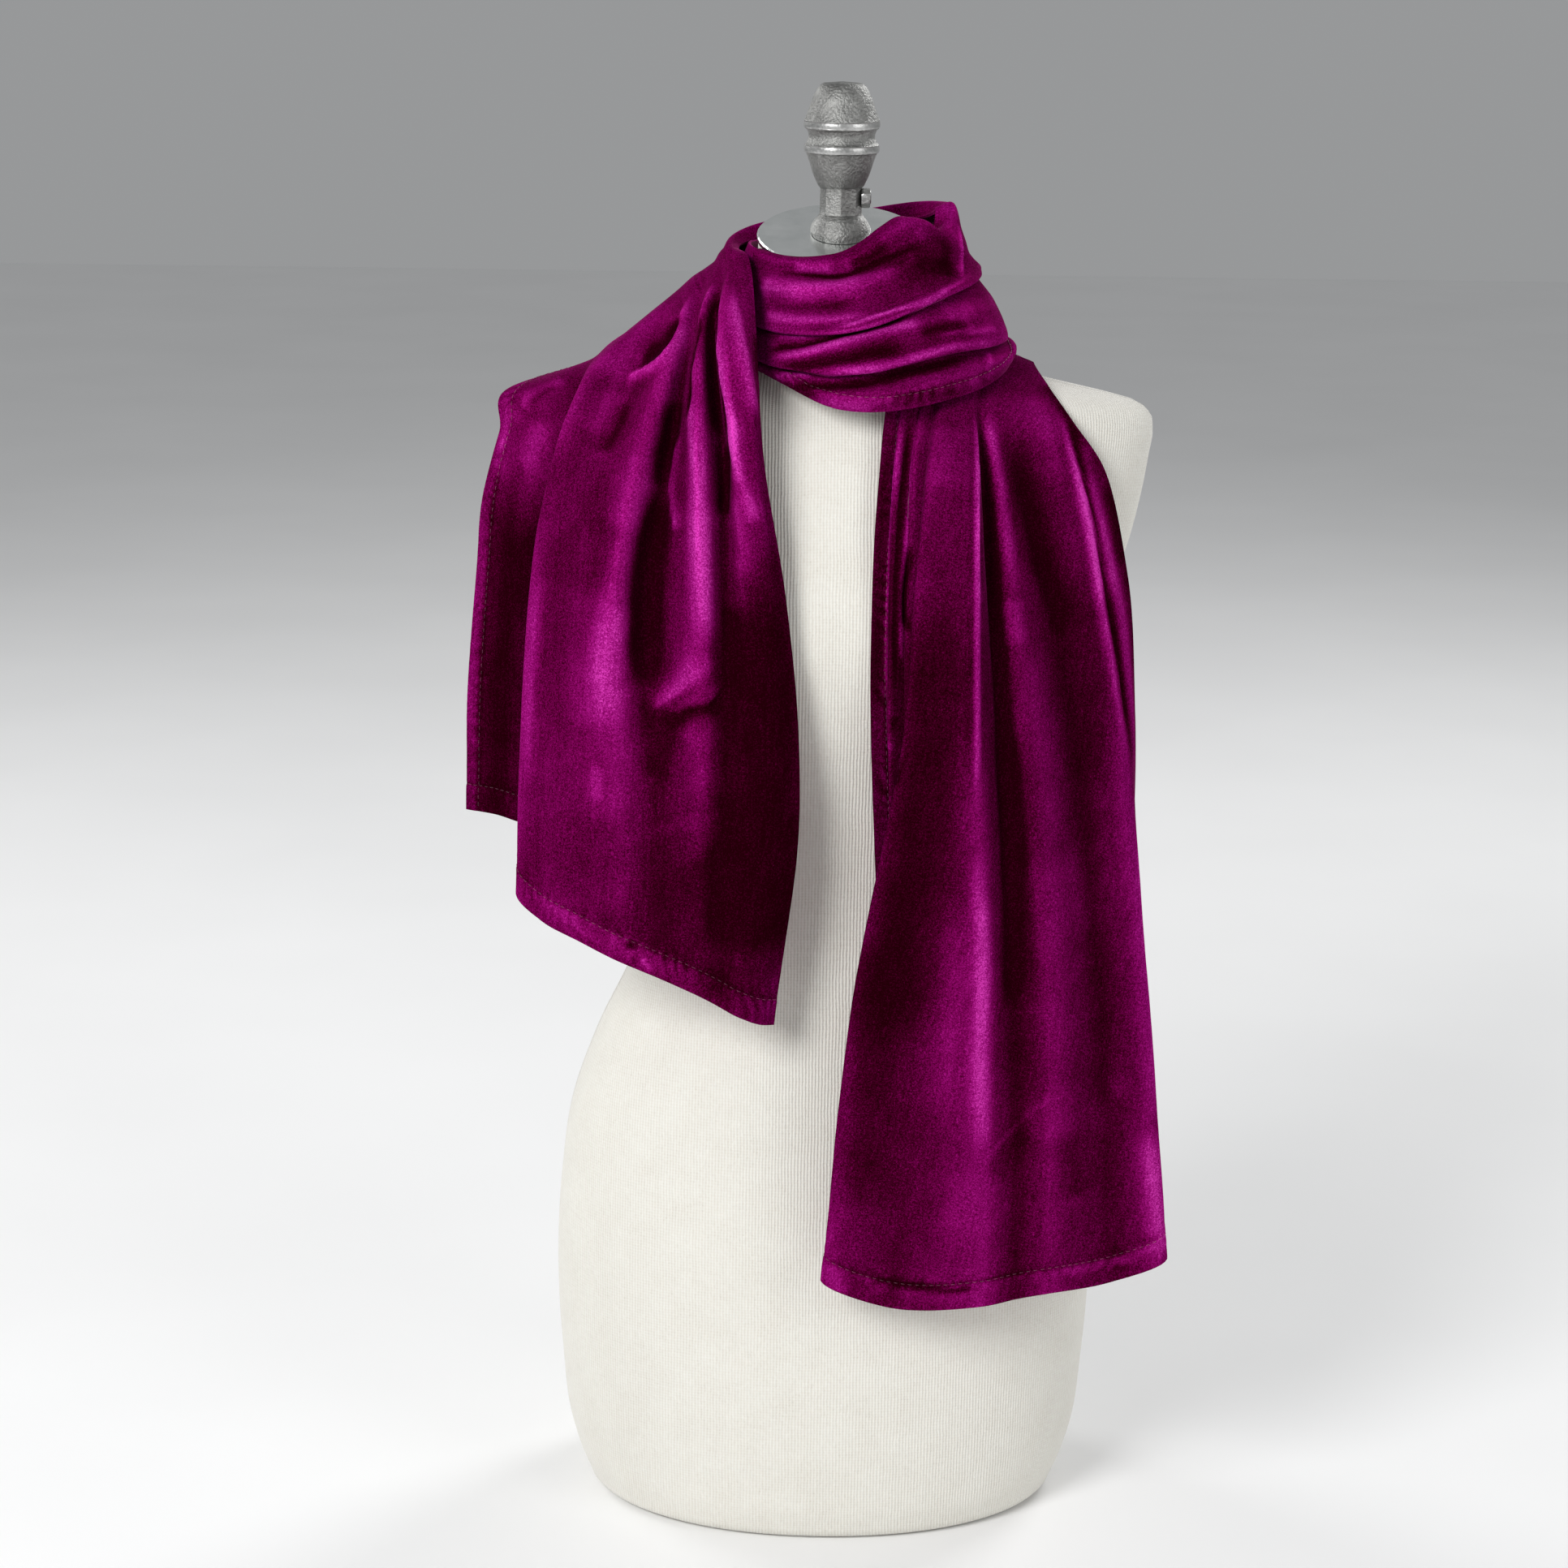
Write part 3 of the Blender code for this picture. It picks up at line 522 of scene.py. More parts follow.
# the longer end, over the right shoulder: fold name, top, hem, then x and distance in front at each station
rightTail = {
    "stations": (0.0, 0.05, 0.10, 0.22, 0.38, 0.68, 1.0),
    "overShoulder": 8.0,
    "folds": [
        ("selvedge", 830, 238, (58, 48, 34, 25, 22, 29, 36), (0, 47, 77, 104, 123, 120, 117)),
        ("crease a", 824, 236, (61, 52, 40, 34, 33, 41, 49), (0, 47, 77, 104, 123, 120, 117)),
        ("pleat a", 819, 230, (64, 54, 42, 36, 34, 39, 48), (0, 51, 82, 110, 129, 126, 123)),
        ("crease b", 813, 226, (66, 58, 50, 44, 43, 50, 57), (0, 50, 81, 109, 128, 125, 120)),
        ("pleat b", 808, 222, (69, 61, 52, 46, 44, 49, 62), (0, 54, 86, 113, 132, 128, 123)),
        ("crease c", 803, 213, (71, 65, 58, 54, 52, 57, 65), (0, 55, 87, 116, 137, 134, 131)),
        ("fold under", 800, 202, (73, 67, 59, 51, 47, 20, 3), (0, 60, 94, 124, 145, 142, 140)),
        ("front fold", 797, 198, (75, 69, 61, 51, 44, 15, -2), (0, 65, 100, 130, 151, 148, 147)),
        ("front face", 793, 184, (77, 75, 71, 69, 67, 54, 42), (0, 68, 102, 133, 155, 156, 155)),
        ("sharp ridge", 789, 188, (81, 83, 84, 86, 88, 95, 98), (0, 66, 98, 129, 152, 159, 161)),
        ("dark crease", 785, 190, (84, 88, 88, 94, 101, 116, 122), (0, 65, 89, 115, 136, 146, 152)),
        ("bright ridge", 782, 194, (89, 94, 96, 104, 117, 139, 142), (0, 68, 91, 120, 141, 148, 152)),
        ("soft trough", 776, 196, (99, 110, 118, 132, 148, 170, 182), (0, 69, 79, 98, 114, 126, 137)),
        ("outer fold", 771, 207, (112, 127, 142, 162, 179, 201, 219), (0, 67, 71, 86, 99, 112, 124)),
        ("selvedge turned", 766, 216, (126, 148, 167, 184, 190, 192, 205), (0, 59, 54, 63, 79, 92, 103)),
    ],
    "steps": 10, "rows": 270, "outward": 1, "pileAndShadeLevel": 0.31, "firstStitchFrom": 0.06,
    # by the direction they are seen from: name, width, height, tone, places sideways and up; the tone is painted
    # light or shade, lighter on ridges, edges and gleams, darker in creases and slots
    "strokes": {0: [
        ("bright ridge", (3, 4.5), 1.4, 0.36,
         [(90, 750), (94, 735), (97, 722), (100, 705), (102, 691), (106, 663), (109, 639)]),
        ("bright ridge low", 6, 0.6, 0.22, [(108, 641), (110, 626), (112, 609)]),
        ("dark beside the sharp ridge", (1.6, 11), -2.2, -0.50,
         [(88, 742), (90, 707), (92, 667), (95, 628), (99, 584), (102, 534), (106, 488), (109, 447)]),
        ("dark beside the ridge low", (5, 17), -1.2, -0.28,
         [(101, 569), (106, 529), (109, 488), (111, 447), (111, 411), (110, 379)]),
        ("ridge edge light", (1.6, 1.4), 2.0, 0.36, [(84, 751), (85, 707), (86, 621), (87, 563), (88, 513)]),
        ("bright streak", (5, 5), 1.2, 0.30,
         [(89, 493), (90, 467), (93, 435), (94, 409), (94, 377), (94, 345), (96, 308), (96, 283)]),
        ("left of the streak", 14, 0.3, 0.16, [(77, 462), (78, 409), (76, 356), (75, 302)]),
        ("front face light", 15, 0.4, 0.12, [(66, 744), (65, 726), (64, 703)]),
        ("front face dark low", 26, -0.5, -0.30, [(57, 650), (53, 602), (51, 553), (44, 486), (36, 412), (32, 353)]),
        ("front face dark left", 20, 0.0, -0.22, [(31, 433), (24, 363), (21, 299), (19, 244)]),
        ("front face light by the ridge", 7, 0.0, 0.10, [(80, 563), (82, 523), (83, 488)]),
        ("pleat line one", (1.3, 2.0), 1.4, 0.30,
         [(40, 749), (37, 724), (35, 695), (33, 662), (32, 627), (32, 593), (34, 557), (36, 526)]),
        ("pleat line two", (1.3, 2.0), 1.4, 0.26,
         [(49, 748), (47, 724), (45, 696), (42, 666), (40, 642), (40, 613), (42, 582)]),
        ("dark slot", (2.6, 2.2), -2.4, -0.60, [(45, 672), (44, 657), (42, 640), (43, 623), (44, 611)]),
        ("dark between pleats", (2, 3), -1.2, -0.30,
         [(44, 748), (41, 719), (38, 686), (36, 652), (36, 618), (37, 578)]),
        ("lower slot", 2.4, -1.2, -0.30, [(36, 568), (38, 542), (37, 526)]),
        ("dark left pleat", 5, -0.4, -0.20, [(32, 743), (29, 704), (27, 656), (25, 606), (25, 556)]),
        ("soft trough", (9, 13), -1.4, -0.20,
         [(108, 737), (113, 708), (120, 679), (128, 654), (137, 629), (143, 609)]),
        ("upper light", 12, 0.6, 0.14, [(117, 759), (125, 745), (133, 723), (137, 701)]),
        ("middle light", 15, 0.5, 0.05, [(120, 613), (126, 583), (132, 553), (136, 518), (141, 477)]),
        ("right dark band", 14, -0.7, -0.12, [(146, 653), (155, 613), (161, 578), (164, 543), (165, 513)]),
        ("outer fold line", (2.2, 1.5), 1.8, 0.34,
         [(136, 749), (145, 723), (153, 693), (160, 662), (166, 630), (173, 597), (179, 561), (185, 526)]),
        ("under the outer fold", (1.2, 3.0), -1.5, -0.34,
         [(140, 749), (149, 723), (157, 693), (164, 662), (170, 630), (177, 597), (183, 561), (188, 526)]),
        ("bright band", (6, 7), 0.8, 0.30, [(151, 708), (156, 688), (162, 666), (167, 646), (170, 629)]),
        ("outer band top dark", 6, -0.4, -0.24, [(132, 760), (142, 748), (154, 719)]),
        ("outer band edge dark", 5, 0.0, -0.24, [(168, 703), (176, 673), (180, 648)]),
        ("right face mid light", 22, 0.4, 0.08, [(144, 486), (153, 454), (164, 421)]),
        ("right edge light", 5, 0.4, 0.26, [(190, 499), (194, 453), (199, 401), (205, 348), (210, 300)]),
        ("right edge light low", 9, 0.3, 0.30, [(203, 296), (208, 268), (213, 236), (213, 220)]),
        ("low shade", 15, -0.5, -0.10, [(148, 304), (155, 276), (159, 253)]),
        ("mid shade right", 22, 0.0, -0.06, [(126, 384), (137, 353), (143, 321)]),
        ("diagonal crease", 1.6, 0.25, 0.06, [(94, 277), (105, 293), (119, 306), (135, 321), (153, 329)]),
        ("diagonal shade", 8, -0.3, -0.05, [(100, 270), (115, 288), (133, 302)]),
        ("low middle light", 26, 0.2, 0.06, [(67, 258), (93, 248), (124, 239)]),
        ("hem groove", 2, -0.9, -0.26, [(32, 203), (53, 200), (79, 199), (97, 201)]),
        ("hem gleam", 3, 0.0, 0.18, [(141, 208), (167, 208), (194, 212), (213, 220)]),
        ("hem right end light", 7, 0.0, 0.22, [(212, 223), (217, 214)]),
        ("hem left end roll", 4, 0.8, 0.10, [(2, 212), (6, 202), (14, 194)]),
        ("slant light low right", 9, 0.3, 0.05, [(167, 295), (178, 314), (188, 334)]),
    ], 90: [
        ("side fold", 6, 1.2, 0.18, [(-60, 740), (-70, 680), (-80, 600), (-90, 500)]),
        ("side crease", (6, 3), -1.2, -0.22, [(-45, 735), (-55, 670), (-66, 590), (-76, 480), (-84, 380)]),
    ]},
}
lines = tailLines(rightTail["folds"], rightTail["stations"])
wrap = lines[:, :1].copy()
wrap[..., 1] = rightTail["overShoulder"] * mm
lines = np.concatenate([wrap, lines], axis=1)
rightPiece, rightThreads = makeCloth("scarfRightTail", rightTail, lines, ("first", "end"))
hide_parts("scarf_right_tail")
print("right tail made")

# the stretch behind the neck, under everything: heights and distances from the neck's axis
innerTurn = {
    "directions": (90, 112, 135, 180, 225, 270, 299.7),
    "folds": [
        ("top edge", (830, 835, 838, 839, 840, 842, 841), (58, 57, 57, 57, 56, 56, 57)),
        ("upper ridge", (818, 825, 829, 830, 829, 829, 829), (64, 63, 63, 62, 61, 61, 62)),
        ("upper crease", (805, 814, 820, 820, 819, 817, 818), (70, 67, 65, 64, 63, 63, 65)),
        ("middle ridge", (793, 803, 811, 811, 810, 808, 808), (78, 75, 72, 71, 70, 70, 71)),
        ("lower crease", (782, 793, 802, 803, 802, 800, 800), (89, 81, 76, 74, 73, 73, 73)),
        ("lower ridge", (773, 784, 793, 795, 794, 792, 792), (107, 91, 84, 82, 81, 80, 78)),
        ("bottom edge", (766, 774, 784, 788, 787, 786, 784), (126, 104, 94, 88, 87, 86, 84)),
    ],
    "steps": 9, "rows": 130, "outward": -1, "pileAndShadeLevel": 0.42, "firstStitchFrom": 0.0,
    # each stroke's tone is painted light or shade
    "strokes": {180: [
        ("ridge behind the neck", 4, 0.7, 0.06, [(-50, 822), (-20, 826), (10, 825), (40, 821)]),
    ]},
}
lines = turnLines(innerTurn["folds"], innerTurn["directions"])
flush = rightTail["overShoulder"] * mm + gap
lines[:, 0, 0] = 90 + np.degrees(np.arcsin(flush / lines[:, 0, 1]))
innerPiece, innerThreads = makeCloth("scarfInnerTurn", innerTurn, roundTheNeck(lines), ("first", "last"))
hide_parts("scarf_inner_turn")
print("inner turn made")

# across the throat, round the back and down the left side in one run
outerTurn = {
    "frontDirections": (-60, -25, 0, 42, 68, 85),
    "frontFolds": [
        ("top edge", (841, 839, 843, 864, 850, 865), (57, 60, 61, 60, 62, 61)),
        ("collar roll", (840, 837, 839, 863, 855, 868), (61, 67, 69, 70, 71, 71)),
        ("collar crease", (832, 830, 829, 848, 849, 852), (62, 68, 70, 74, 77, 77)),
        ("upper ridge", (824, 825, 825, 840, 843, 844), (65, 76, 79, 80, 81, 80)),
        ("soft trough", (817, 815, 815, 832, 836, 838), (67, 79, 83, 83, 83, 82)),
        ("middle ridge", (811, 805, 805, 824, 829, 833), (71, 86, 92, 90, 88, 85)),
        ("first edge", (806, 797, 799, 819, 825, 828), (74, 90, 98, 97, 94, 90)),
        ("first tuck", (805, 797, 799, 818, 823, 825), (70, 82, 89, 89, 89, 87)),
        ("lower ridge", (799, 788, 791, 805, 807, 807), (75, 91, 100, 102, 102, 99)),
        ("second edge", (794, 777, 776, 787, 787, 786), (79, 97, 110, 112, 111, 107)),
        ("second tuck", (791, 776, 774, 785, 785, 784), (76, 88, 101, 104, 104, 102)),
        ("hem roll", (788, 771, 762, 772, 777, 779), (83, 94, 112, 115, 115, 113)),
        ("bottom edge", (784, 768, 754, 759, 768, 775), (84, 92, 108, 112, 112, 110)),
    ],
    "backDirections": (132, 180, 225),
    "backFolds": [
        ("top edge", (853, 843, 842), (61, 59, 58)),
        ("collar roll", (864, 854, 850), (71, 70, 66)),
        ("collar crease", (849, 843, 841), (77, 75, 70)),
        ("upper ridge", (842, 837, 836), (81, 81, 75)),
        ("soft trough", (836, 830, 829), (81, 81, 76)),
        ("middle ridge", (831, 824, 822), (88, 89, 84)),
        ("first edge", (824, 815, 813), (92, 93, 90)),
        ("first tuck", (820, 811, 808), (86, 87, 89)),
        ("lower ridge", (806, 799, 797), (98, 98, 101)),
        ("second edge", (790, 787, 785), (104, 104, 112)),
        ("second tuck", (787, 783, 780), (97, 98, 113)),
        ("hem roll", (780, 775, 770), (110, 109, 126)),
        ("bottom edge", (772, 765, 760), (108, 108, 130)),
    ],
    "stations": (0.0, 0.10, 0.24, 0.42, 0.70, 1.0),
    "leftFolds": [
        ("inner edge", 838, 364, (-58, -51, -46, -31, -21, -36), (34, 100, 118, 129, 131, 128)),
        ("roll", 838, 367, (-64, -57, -51, -42, -38, -45), (34, 108, 127, 138, 141, 137)),
        ("pleat a", 836, 373, (-69, -70, -62, -56, -54, -57), (28, 109, 128, 139, 143, 142)),
        ("crease a", 833, 379, (-73, -76, -70, -68, -67, -69), (22, 90, 111, 132, 139, 140)),
        ("pleat b", 829, 387, (-78, -85, -85, -82, -81, -84), (16, 102, 125, 144, 143, 140)),
        ("long crease", 825, 396, (-84, -93, -103, -113, -110, -106), (11, 82, 101, 122, 134, 137)),
        ("scoop", 820, 408, (-92, -104, -121, -134, -135, -134), (7, 88, 116, 140, 140, 137)),
        ("pocket", 811, 419, (-102, -121, -140, -154, -157, -158), (5, 60, 103, 128, 133, 132)),
        ("upper face", 797, 428, (-119, -142, -160, -173, -180, -182), (7, 58, 92, 110, 118, 119)),
        ("front fold", 774, 442, (-147, -168, -182, -190, -196, -199), (8, 68, 79, 92, 99, 101)),
        ("turn behind", 766, 465, (-155, -160, -162, -162, -165, -168), (-1, 57, 67, 74, 79, 81)),
        ("back panel", 757, 477, (-178, -188, -198, -203, -206, -209), (-2, 39, 44, 49, 52, 53)),
        ("selvedge", 748, 477, (-205, -214, -224, -228, -234, -236), (-5, 16, 22, 26, 30, 32)),
    ],
    "steps": 10, "rows": 390, "outward": -1, "pileAndShadeLevel": 0.36, "firstStitchFrom": 0.0,
    # each stroke's tone is painted light or shade: lighter on ridges, edges and rolls, darker in valleys, pockets and
    # under folds
    "strokes": {0: [
        ("collar gleam", 3, 0.6, 0.20, [(-30, 834), (-17, 834), (-2, 835)]),
        ("overlap line", (2.0, 1.2), -1.3, -0.20,
         [(-38, 830), (-17, 830), (1, 830), (22, 838), (38, 844), (52, 851)]),
        ("first ridge", (9, 5), 1.2, 0.30, [(-57, 825), (-45, 821), (-31, 821), (0, 826), (25, 832), (40, 836)]),
        ("shade under first ridge", 6, -0.7, -0.16, [(-52, 814), (-32, 811), (-10, 813), (13, 816)]),
        ("second ridge", (3.5, 5), 1.0, 0.32, [(-52, 807), (-37, 804), (-17, 804), (3, 806), (20, 809)]),
        ("first edge light", (1.2, 2.6), 1.3, 0.32,
         [(-51, 793), (-24, 793), (0, 800), (25, 808), (50, 814), (68, 821), (87, 830)]),
        ("under first edge", (4.5, 1.5), -2.0, -0.42, [(-49, 786), (-24, 790), (0, 796), (25, 804), (45, 808)]),
        ("third ridge", (3.5, 4.5), 1.3, 0.42, [(-44, 781), (-29, 784), (-12, 789), (13, 796), (38, 802), (53, 804)]),
        ("shade under third ridge", 5, -0.9, -0.34, [(-44, 775), (-22, 778), (0, 783), (23, 788), (42, 792)]),
        ("second edge light", (1.2, 2.6), 1.3, 0.38,
         [(-47, 769), (-24, 771), (0, 776), (25, 779), (50, 785), (75, 789), (100, 787)]),
        ("under second edge", (6.5, 1.6), -2.2, -0.42,
         [(-39, 766), (-17, 767), (13, 770), (38, 776), (58, 779), (84, 782)]),
        ("upper roll line", 2, 0.7, 0.16, [(56, 796), (73, 797), (89, 796), (100, 795)]),
        ("shade over the roll line", 4, -0.7, -0.24, [(47, 798), (63, 800), (81, 800)]),
        ("right side light", 12, 0.5, 0.06, [(58, 816), (73, 811), (86, 805)]),
        ("right side low light", 7, 0.4, 0.06, [(65, 805), (81, 804)]),
        ("dark behind the overlap", 8, -0.6, -0.12, [(43, 841), (58, 837), (71, 831)]),
        ("dark under the overlap", 5, -0.5, -0.22, [(30, 849), (17, 841), (5, 836)]),
        ("light over the collar", 5, 0.3, 0.14, [(47, 858), (52, 849)]),
        ("upright fold edge", (3, 1.4), 1.4, 0.16, [(75, 858), (76, 846), (76, 835), (76, 825)]),
        ("shade left of the upright fold", 6, -0.6, -0.24, [(66, 852), (67, 838), (68, 827)]),
        ("light band right upper", 7, 0.3, 0.16, [(63, 866), (69, 859), (72, 847)]),
        ("bottom roll light", 4, 0.4, 0.22, [(-19, 760), (-7, 758), (8, 756), (26, 755)]),
        ("bottom dark", 4, -0.3, -0.20, [(28, 760), (53, 762), (79, 764)]),
        ("end mark on the right", 2, 0.6, 0.16, [(93, 783), (93, 778), (92, 772)]),
        ("dark beside the left tail", 4, -0.4, -0.26, [(-51, 798), (-49, 781), (-46, 770)]),
        ("faint crease one", 3, 0.4, 0.08, [(-37, 817), (-12, 817), (13, 821)]),
        ("faint crease two", 3, -0.4, -0.08, [(-25, 800), (3, 803), (22, 807)]),
        ("roll beside the throat", (6, 3), 2.2, 0.20,
         [(-67, 826), (-64, 811), (-61, 797), (-57, 781), (-53, 761), (-49, 746)]),
        ("valley between pleats", (6, 2.4), -3.6, -0.60,
         [(-76, 821), (-76, 800), (-74, 778), (-71, 752), (-69, 735)]),
        ("pleat edge", (2.0, 2.8), 2.0, 0.30,
         [(-71, 829), (-74, 813), (-75, 799), (-72, 785), (-69, 767), (-65, 747), (-63, 728), (-59, 709)]),
        ("bright inner pleat", (3.6, 5), 1.3, 0.18, [(-63, 757), (-62, 737), (-60, 718), (-53, 696), (-51, 684)]),
        ("second valley", (3.4, 2.4), -2.2, -0.44, [(-84, 809), (-87, 788), (-90, 764), (-92, 745)]),
        ("pale pleat top", (2.4, 4), 1.8, 0.20, [(-78, 823), (-83, 811), (-87, 796), (-88, 779), (-89, 760)]),
        ("lower valley of the bundle", (5, 4), -1.6, -0.36, [(-68, 736), (-67, 707), (-70, 687)]),
        ("scoop lip", (2.8, 8), 2.4, 0.20,
         [(-89, 817), (-95, 805), (-99, 792), (-106, 782), (-116, 773), (-126, 766), (-132, 764)]),
        ("scoop pocket", (11, 4), -2.6, -0.50, [(-98, 803), (-102, 795), (-107, 787), (-114, 781), (-123, 776)]),
        ("upper face light", 16, 0.6, 0.18, [(-101, 811), (-119, 792), (-136, 775), (-151, 759)]),
        ("light under the scoop", 10, 0.5, 0.14, [(-138, 759), (-147, 743), (-155, 729)]),
        ("fold from scoop", (8, 5), -0.9, -0.12, [(-130, 754), (-134, 740), (-140, 729), (-145, 721)]),
        ("long valley upper", (9, 3.4), -2.4, -0.50, [(-97, 756), (-100, 737), (-104, 720), (-108, 701)]),
        ("long valley", (17, 7), -3.0, -0.56,
         [(-110, 704), (-113, 680), (-117, 656), (-117, 631), (-116, 606), (-114, 581)]),
        ("edge beside the valley", (2.4, 5), 1.4, 0.18,
         [(-97, 736), (-100, 723), (-102, 704), (-99, 686), (-97, 677)]),
        ("bright pleat b upper", (4, 5), 1.2, 0.24, [(-91, 768), (-89, 741), (-86, 717), (-85, 694)]),
        ("bright pleat b", (6, 7), 1.8, 0.30, [(-85, 708), (-84, 684), (-83, 660), (-81, 635), (-80, 610)]),
        ("ledge under the pleat", (3, 12), 1.8, 0.24, [(-116, 569), (-107, 574), (-97, 582), (-87, 592), (-74, 604)]),
        ("ledge step", (8, 2), -2.0, -0.26, [(-108, 565), (-98, 566), (-88, 572), (-75, 576), (-67, 586)]),
        ("step up the side", (10, 2.2), -1.2, -0.26, [(-69, 578), (-64, 593), (-66, 618), (-68, 638)]),
        ("pleat to the side", 9, 0.8, 0.10, [(-63, 708), (-58, 689), (-55, 669), (-59, 649)]),
        ("dark beside the throat low", 15, -0.5, -0.22, [(-43, 688), (-40, 649), (-37, 609), (-37, 558), (-38, 507)]),
        ("dark inner face", (20, 24), 0.0, -0.36,
         [(-50, 650), (-52, 600), (-49, 559), (-41, 507), (-35, 454), (-37, 411)]),
        ("dark inner face low", 24, 0.0, -0.24, [(-61, 527), (-63, 480), (-61, 444), (-55, 412)]),
        ("bust light", (15, 12), 0.8, 0.30,
         [(-113, 710), (-120, 690), (-127, 663), (-134, 630), (-141, 600), (-146, 570), (-148, 545)]),
        ("bust light left", 8, 0.4, 0.06, [(-141, 629), (-145, 608), (-147, 583)]),
        ("bust light right", 6, 0.4, 0.10, [(-128, 638), (-130, 613), (-131, 588)]),
        ("mid light", 24, 0.4, 0.08, [(-144, 557), (-146, 525), (-145, 494)]),
        ("light streak low", 4, 0.3, 0.14, [(-147, 536), (-146, 510)]),
        ("shade left of bust light", (16, 12), -0.5, -0.06,
         [(-164, 692), (-167, 653), (-170, 614), (-171, 573), (-169, 533)]),
        ("light along the front fold", 6, 0.4, 0.22,
         [(-182, 650), (-186, 620), (-188, 585), (-190, 549), (-192, 507)]),
        ("shade between", 14, -0.6, -0.08, [(-130, 687), (-142, 662), (-152, 637)]),
        ("upper light band", 14, 0.4, 0.06, [(-111, 724), (-118, 700), (-125, 677)]),
        ("shade band upper", 14, 0.0, -0.08, [(-135, 710), (-148, 694), (-158, 683)]),
        ("light blotch low right", 24, 0.3, 0.06, [(-91, 506), (-86, 491), (-78, 475)]),
        ("shade low left", 18, 0.0, -0.06, [(-170, 507), (-155, 483), (-165, 460)]),
        ("shade low middle", 22, 0.0, -0.07, [(-127, 463), (-109, 452), (-88, 438)]),
        ("shade above the hem", 10, 0.0, -0.12, [(-165, 439), (-134, 426), (-98, 410), (-63, 396)]),
        ("hem light", (6, 7), 0.0, 0.20, [(-192, 445), (-165, 433), (-134, 419), (-114, 410), (-83, 395)]),
        ("hem light left end", 6, 0.0, 0.10, [(-199, 448), (-196, 443), (-189, 438)]),
        ("hem pucker", 2.5, -1.4, -0.30, [(-126, 421), (-125, 415)]),
        ("hem pucker line", 1.6, 0.9, 0.20, [(-119, 411), (-115, 405), (-111, 401)]),
        ("diagonal under the ledge", 10, -0.5, -0.07, [(-94, 557), (-104, 541), (-114, 525)]),
        ("shoulder light", 6, 0.8, 0.18, [(-171, 757), (-181, 751), (-194, 744), (-201, 740)]),
        ("shoulder crease", 4, -0.8, -0.18, [(-176, 753), (-188, 746), (-196, 740)]),
        ("outer edge light", 7, 0.5, 0.18, [(-201, 740), (-208, 726), (-211, 709), (-211, 689)]),
        ("panel upper light", 16, 0.5, 0.08, [(-188, 737), (-192, 717), (-198, 701)]),
        ("panel dark", (16, 22), -0.8, -0.40,
         [(-201, 701), (-203, 670), (-207, 629), (-210, 587), (-212, 544), (-214, 500), (-215, 455), (-215, 430)]),
        ("panel dark by fold", 10, -0.8, -0.18, [(-174, 733), (-182, 708), (-188, 683), (-194, 641), (-197, 600)]),
        ("selvedge band light", 4, 0.0, 0.14, [(-221, 667), (-224, 636), (-228, 594), (-231, 551), (-233, 508)]),
        ("dark end of the hem", (9, 10), 0.0, -0.18, [(-84, 397), (-62, 388), (-38, 380)]),
        ("dark right of the collar", 13, -0.4, -0.20, [(8, 826), (30, 834), (50, 836), (72, 832)]),
        ("dark low on the right", (6, 9), -0.4, -0.16, [(20, 777), (45, 783), (70, 788), (90, 790)]),
        ("dark bottom half", (30, 34), 0.0, -0.20, [(-70, 500), (-62, 460), (-52, 425), (-40, 390)]),
    ], 180: [
        ("back first fold", 5, 1.8, 0.26, [(-90, 828), (-60, 832), (-20, 829), (30, 828), (60, 826)]),
        ("back first shade", (4, 2.4), -1.8, -0.28, [(-85, 818), (-50, 822), (0, 819), (50, 816)]),
        ("back second fold", (3, 6), 1.8, 0.24, [(-80, 806), (-40, 806), (10, 803), (70, 800), (100, 790)]),
        ("back low shade", (6, 2.4), -1.8, -0.28, [(-95, 795), (-50, 793), (0, 791), (60, 786)]),
        ("back low fold", (3, 6), 1.5, 0.22, [(-60, 780), (-10, 777), (50, 776), (110, 772)]),
        ("slope to the shoulder", 6, 1.8, 0.22, [(60, 815), (100, 795), (140, 778), (170, 765)]),
        ("slope shade", (6, 2.4), -1.8, -0.26, [(80, 797), (120, 779), (155, 767), (185, 756)]),
        ("back upper shade", 4, -1.2, -0.22, [(-60, 846), (-20, 843), (20, 840), (50, 838)]),
        ("back short crease", (4, 2), -1.4, -0.22, [(95, 788), (120, 776), (140, 768)]),
        ("back short fold", 4, 1.2, 0.18, [(-30, 812), (5, 813), (35, 811)]),
    ], 250: [
        ("side fold high", 5, 1.5, 0.18, [(-20, 808), (0, 798), (20, 786)]),
        ("side crease", (5, 2.4), -1.6, -0.26, [(-30, 800), (-8, 788), (14, 772), (30, 752)]),
    ], 270: [
        ("panel fold seen from the side", 5, 1.0, 0.16, [(20, 700), (24, 640), (28, 570), (31, 510)]),
    ]},
}
leftTail = tailLines(outerTurn["leftFolds"], outerTurn["stations"])
front = turnLines(outerTurn["frontFolds"], outerTurn["frontDirections"])
back = np.concatenate([front[:, -1:], turnLines(outerTurn["backFolds"], outerTurn["backDirections"]),
                       toDirections(leftTail[:, :1])], axis=1)
lines = np.concatenate([roundTheNeck(front), roundTheNeck(back)[:, 1:], leftTail[:, 1:]], axis=1)
outerPiece, outerThreads = makeCloth("scarfOuterTurn", outerTurn, lines, ("last", "end"))
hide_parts("scarf_front_turn", "scarf_back_turn", "scarf_left_tail")
print("outer turn and left tail made")

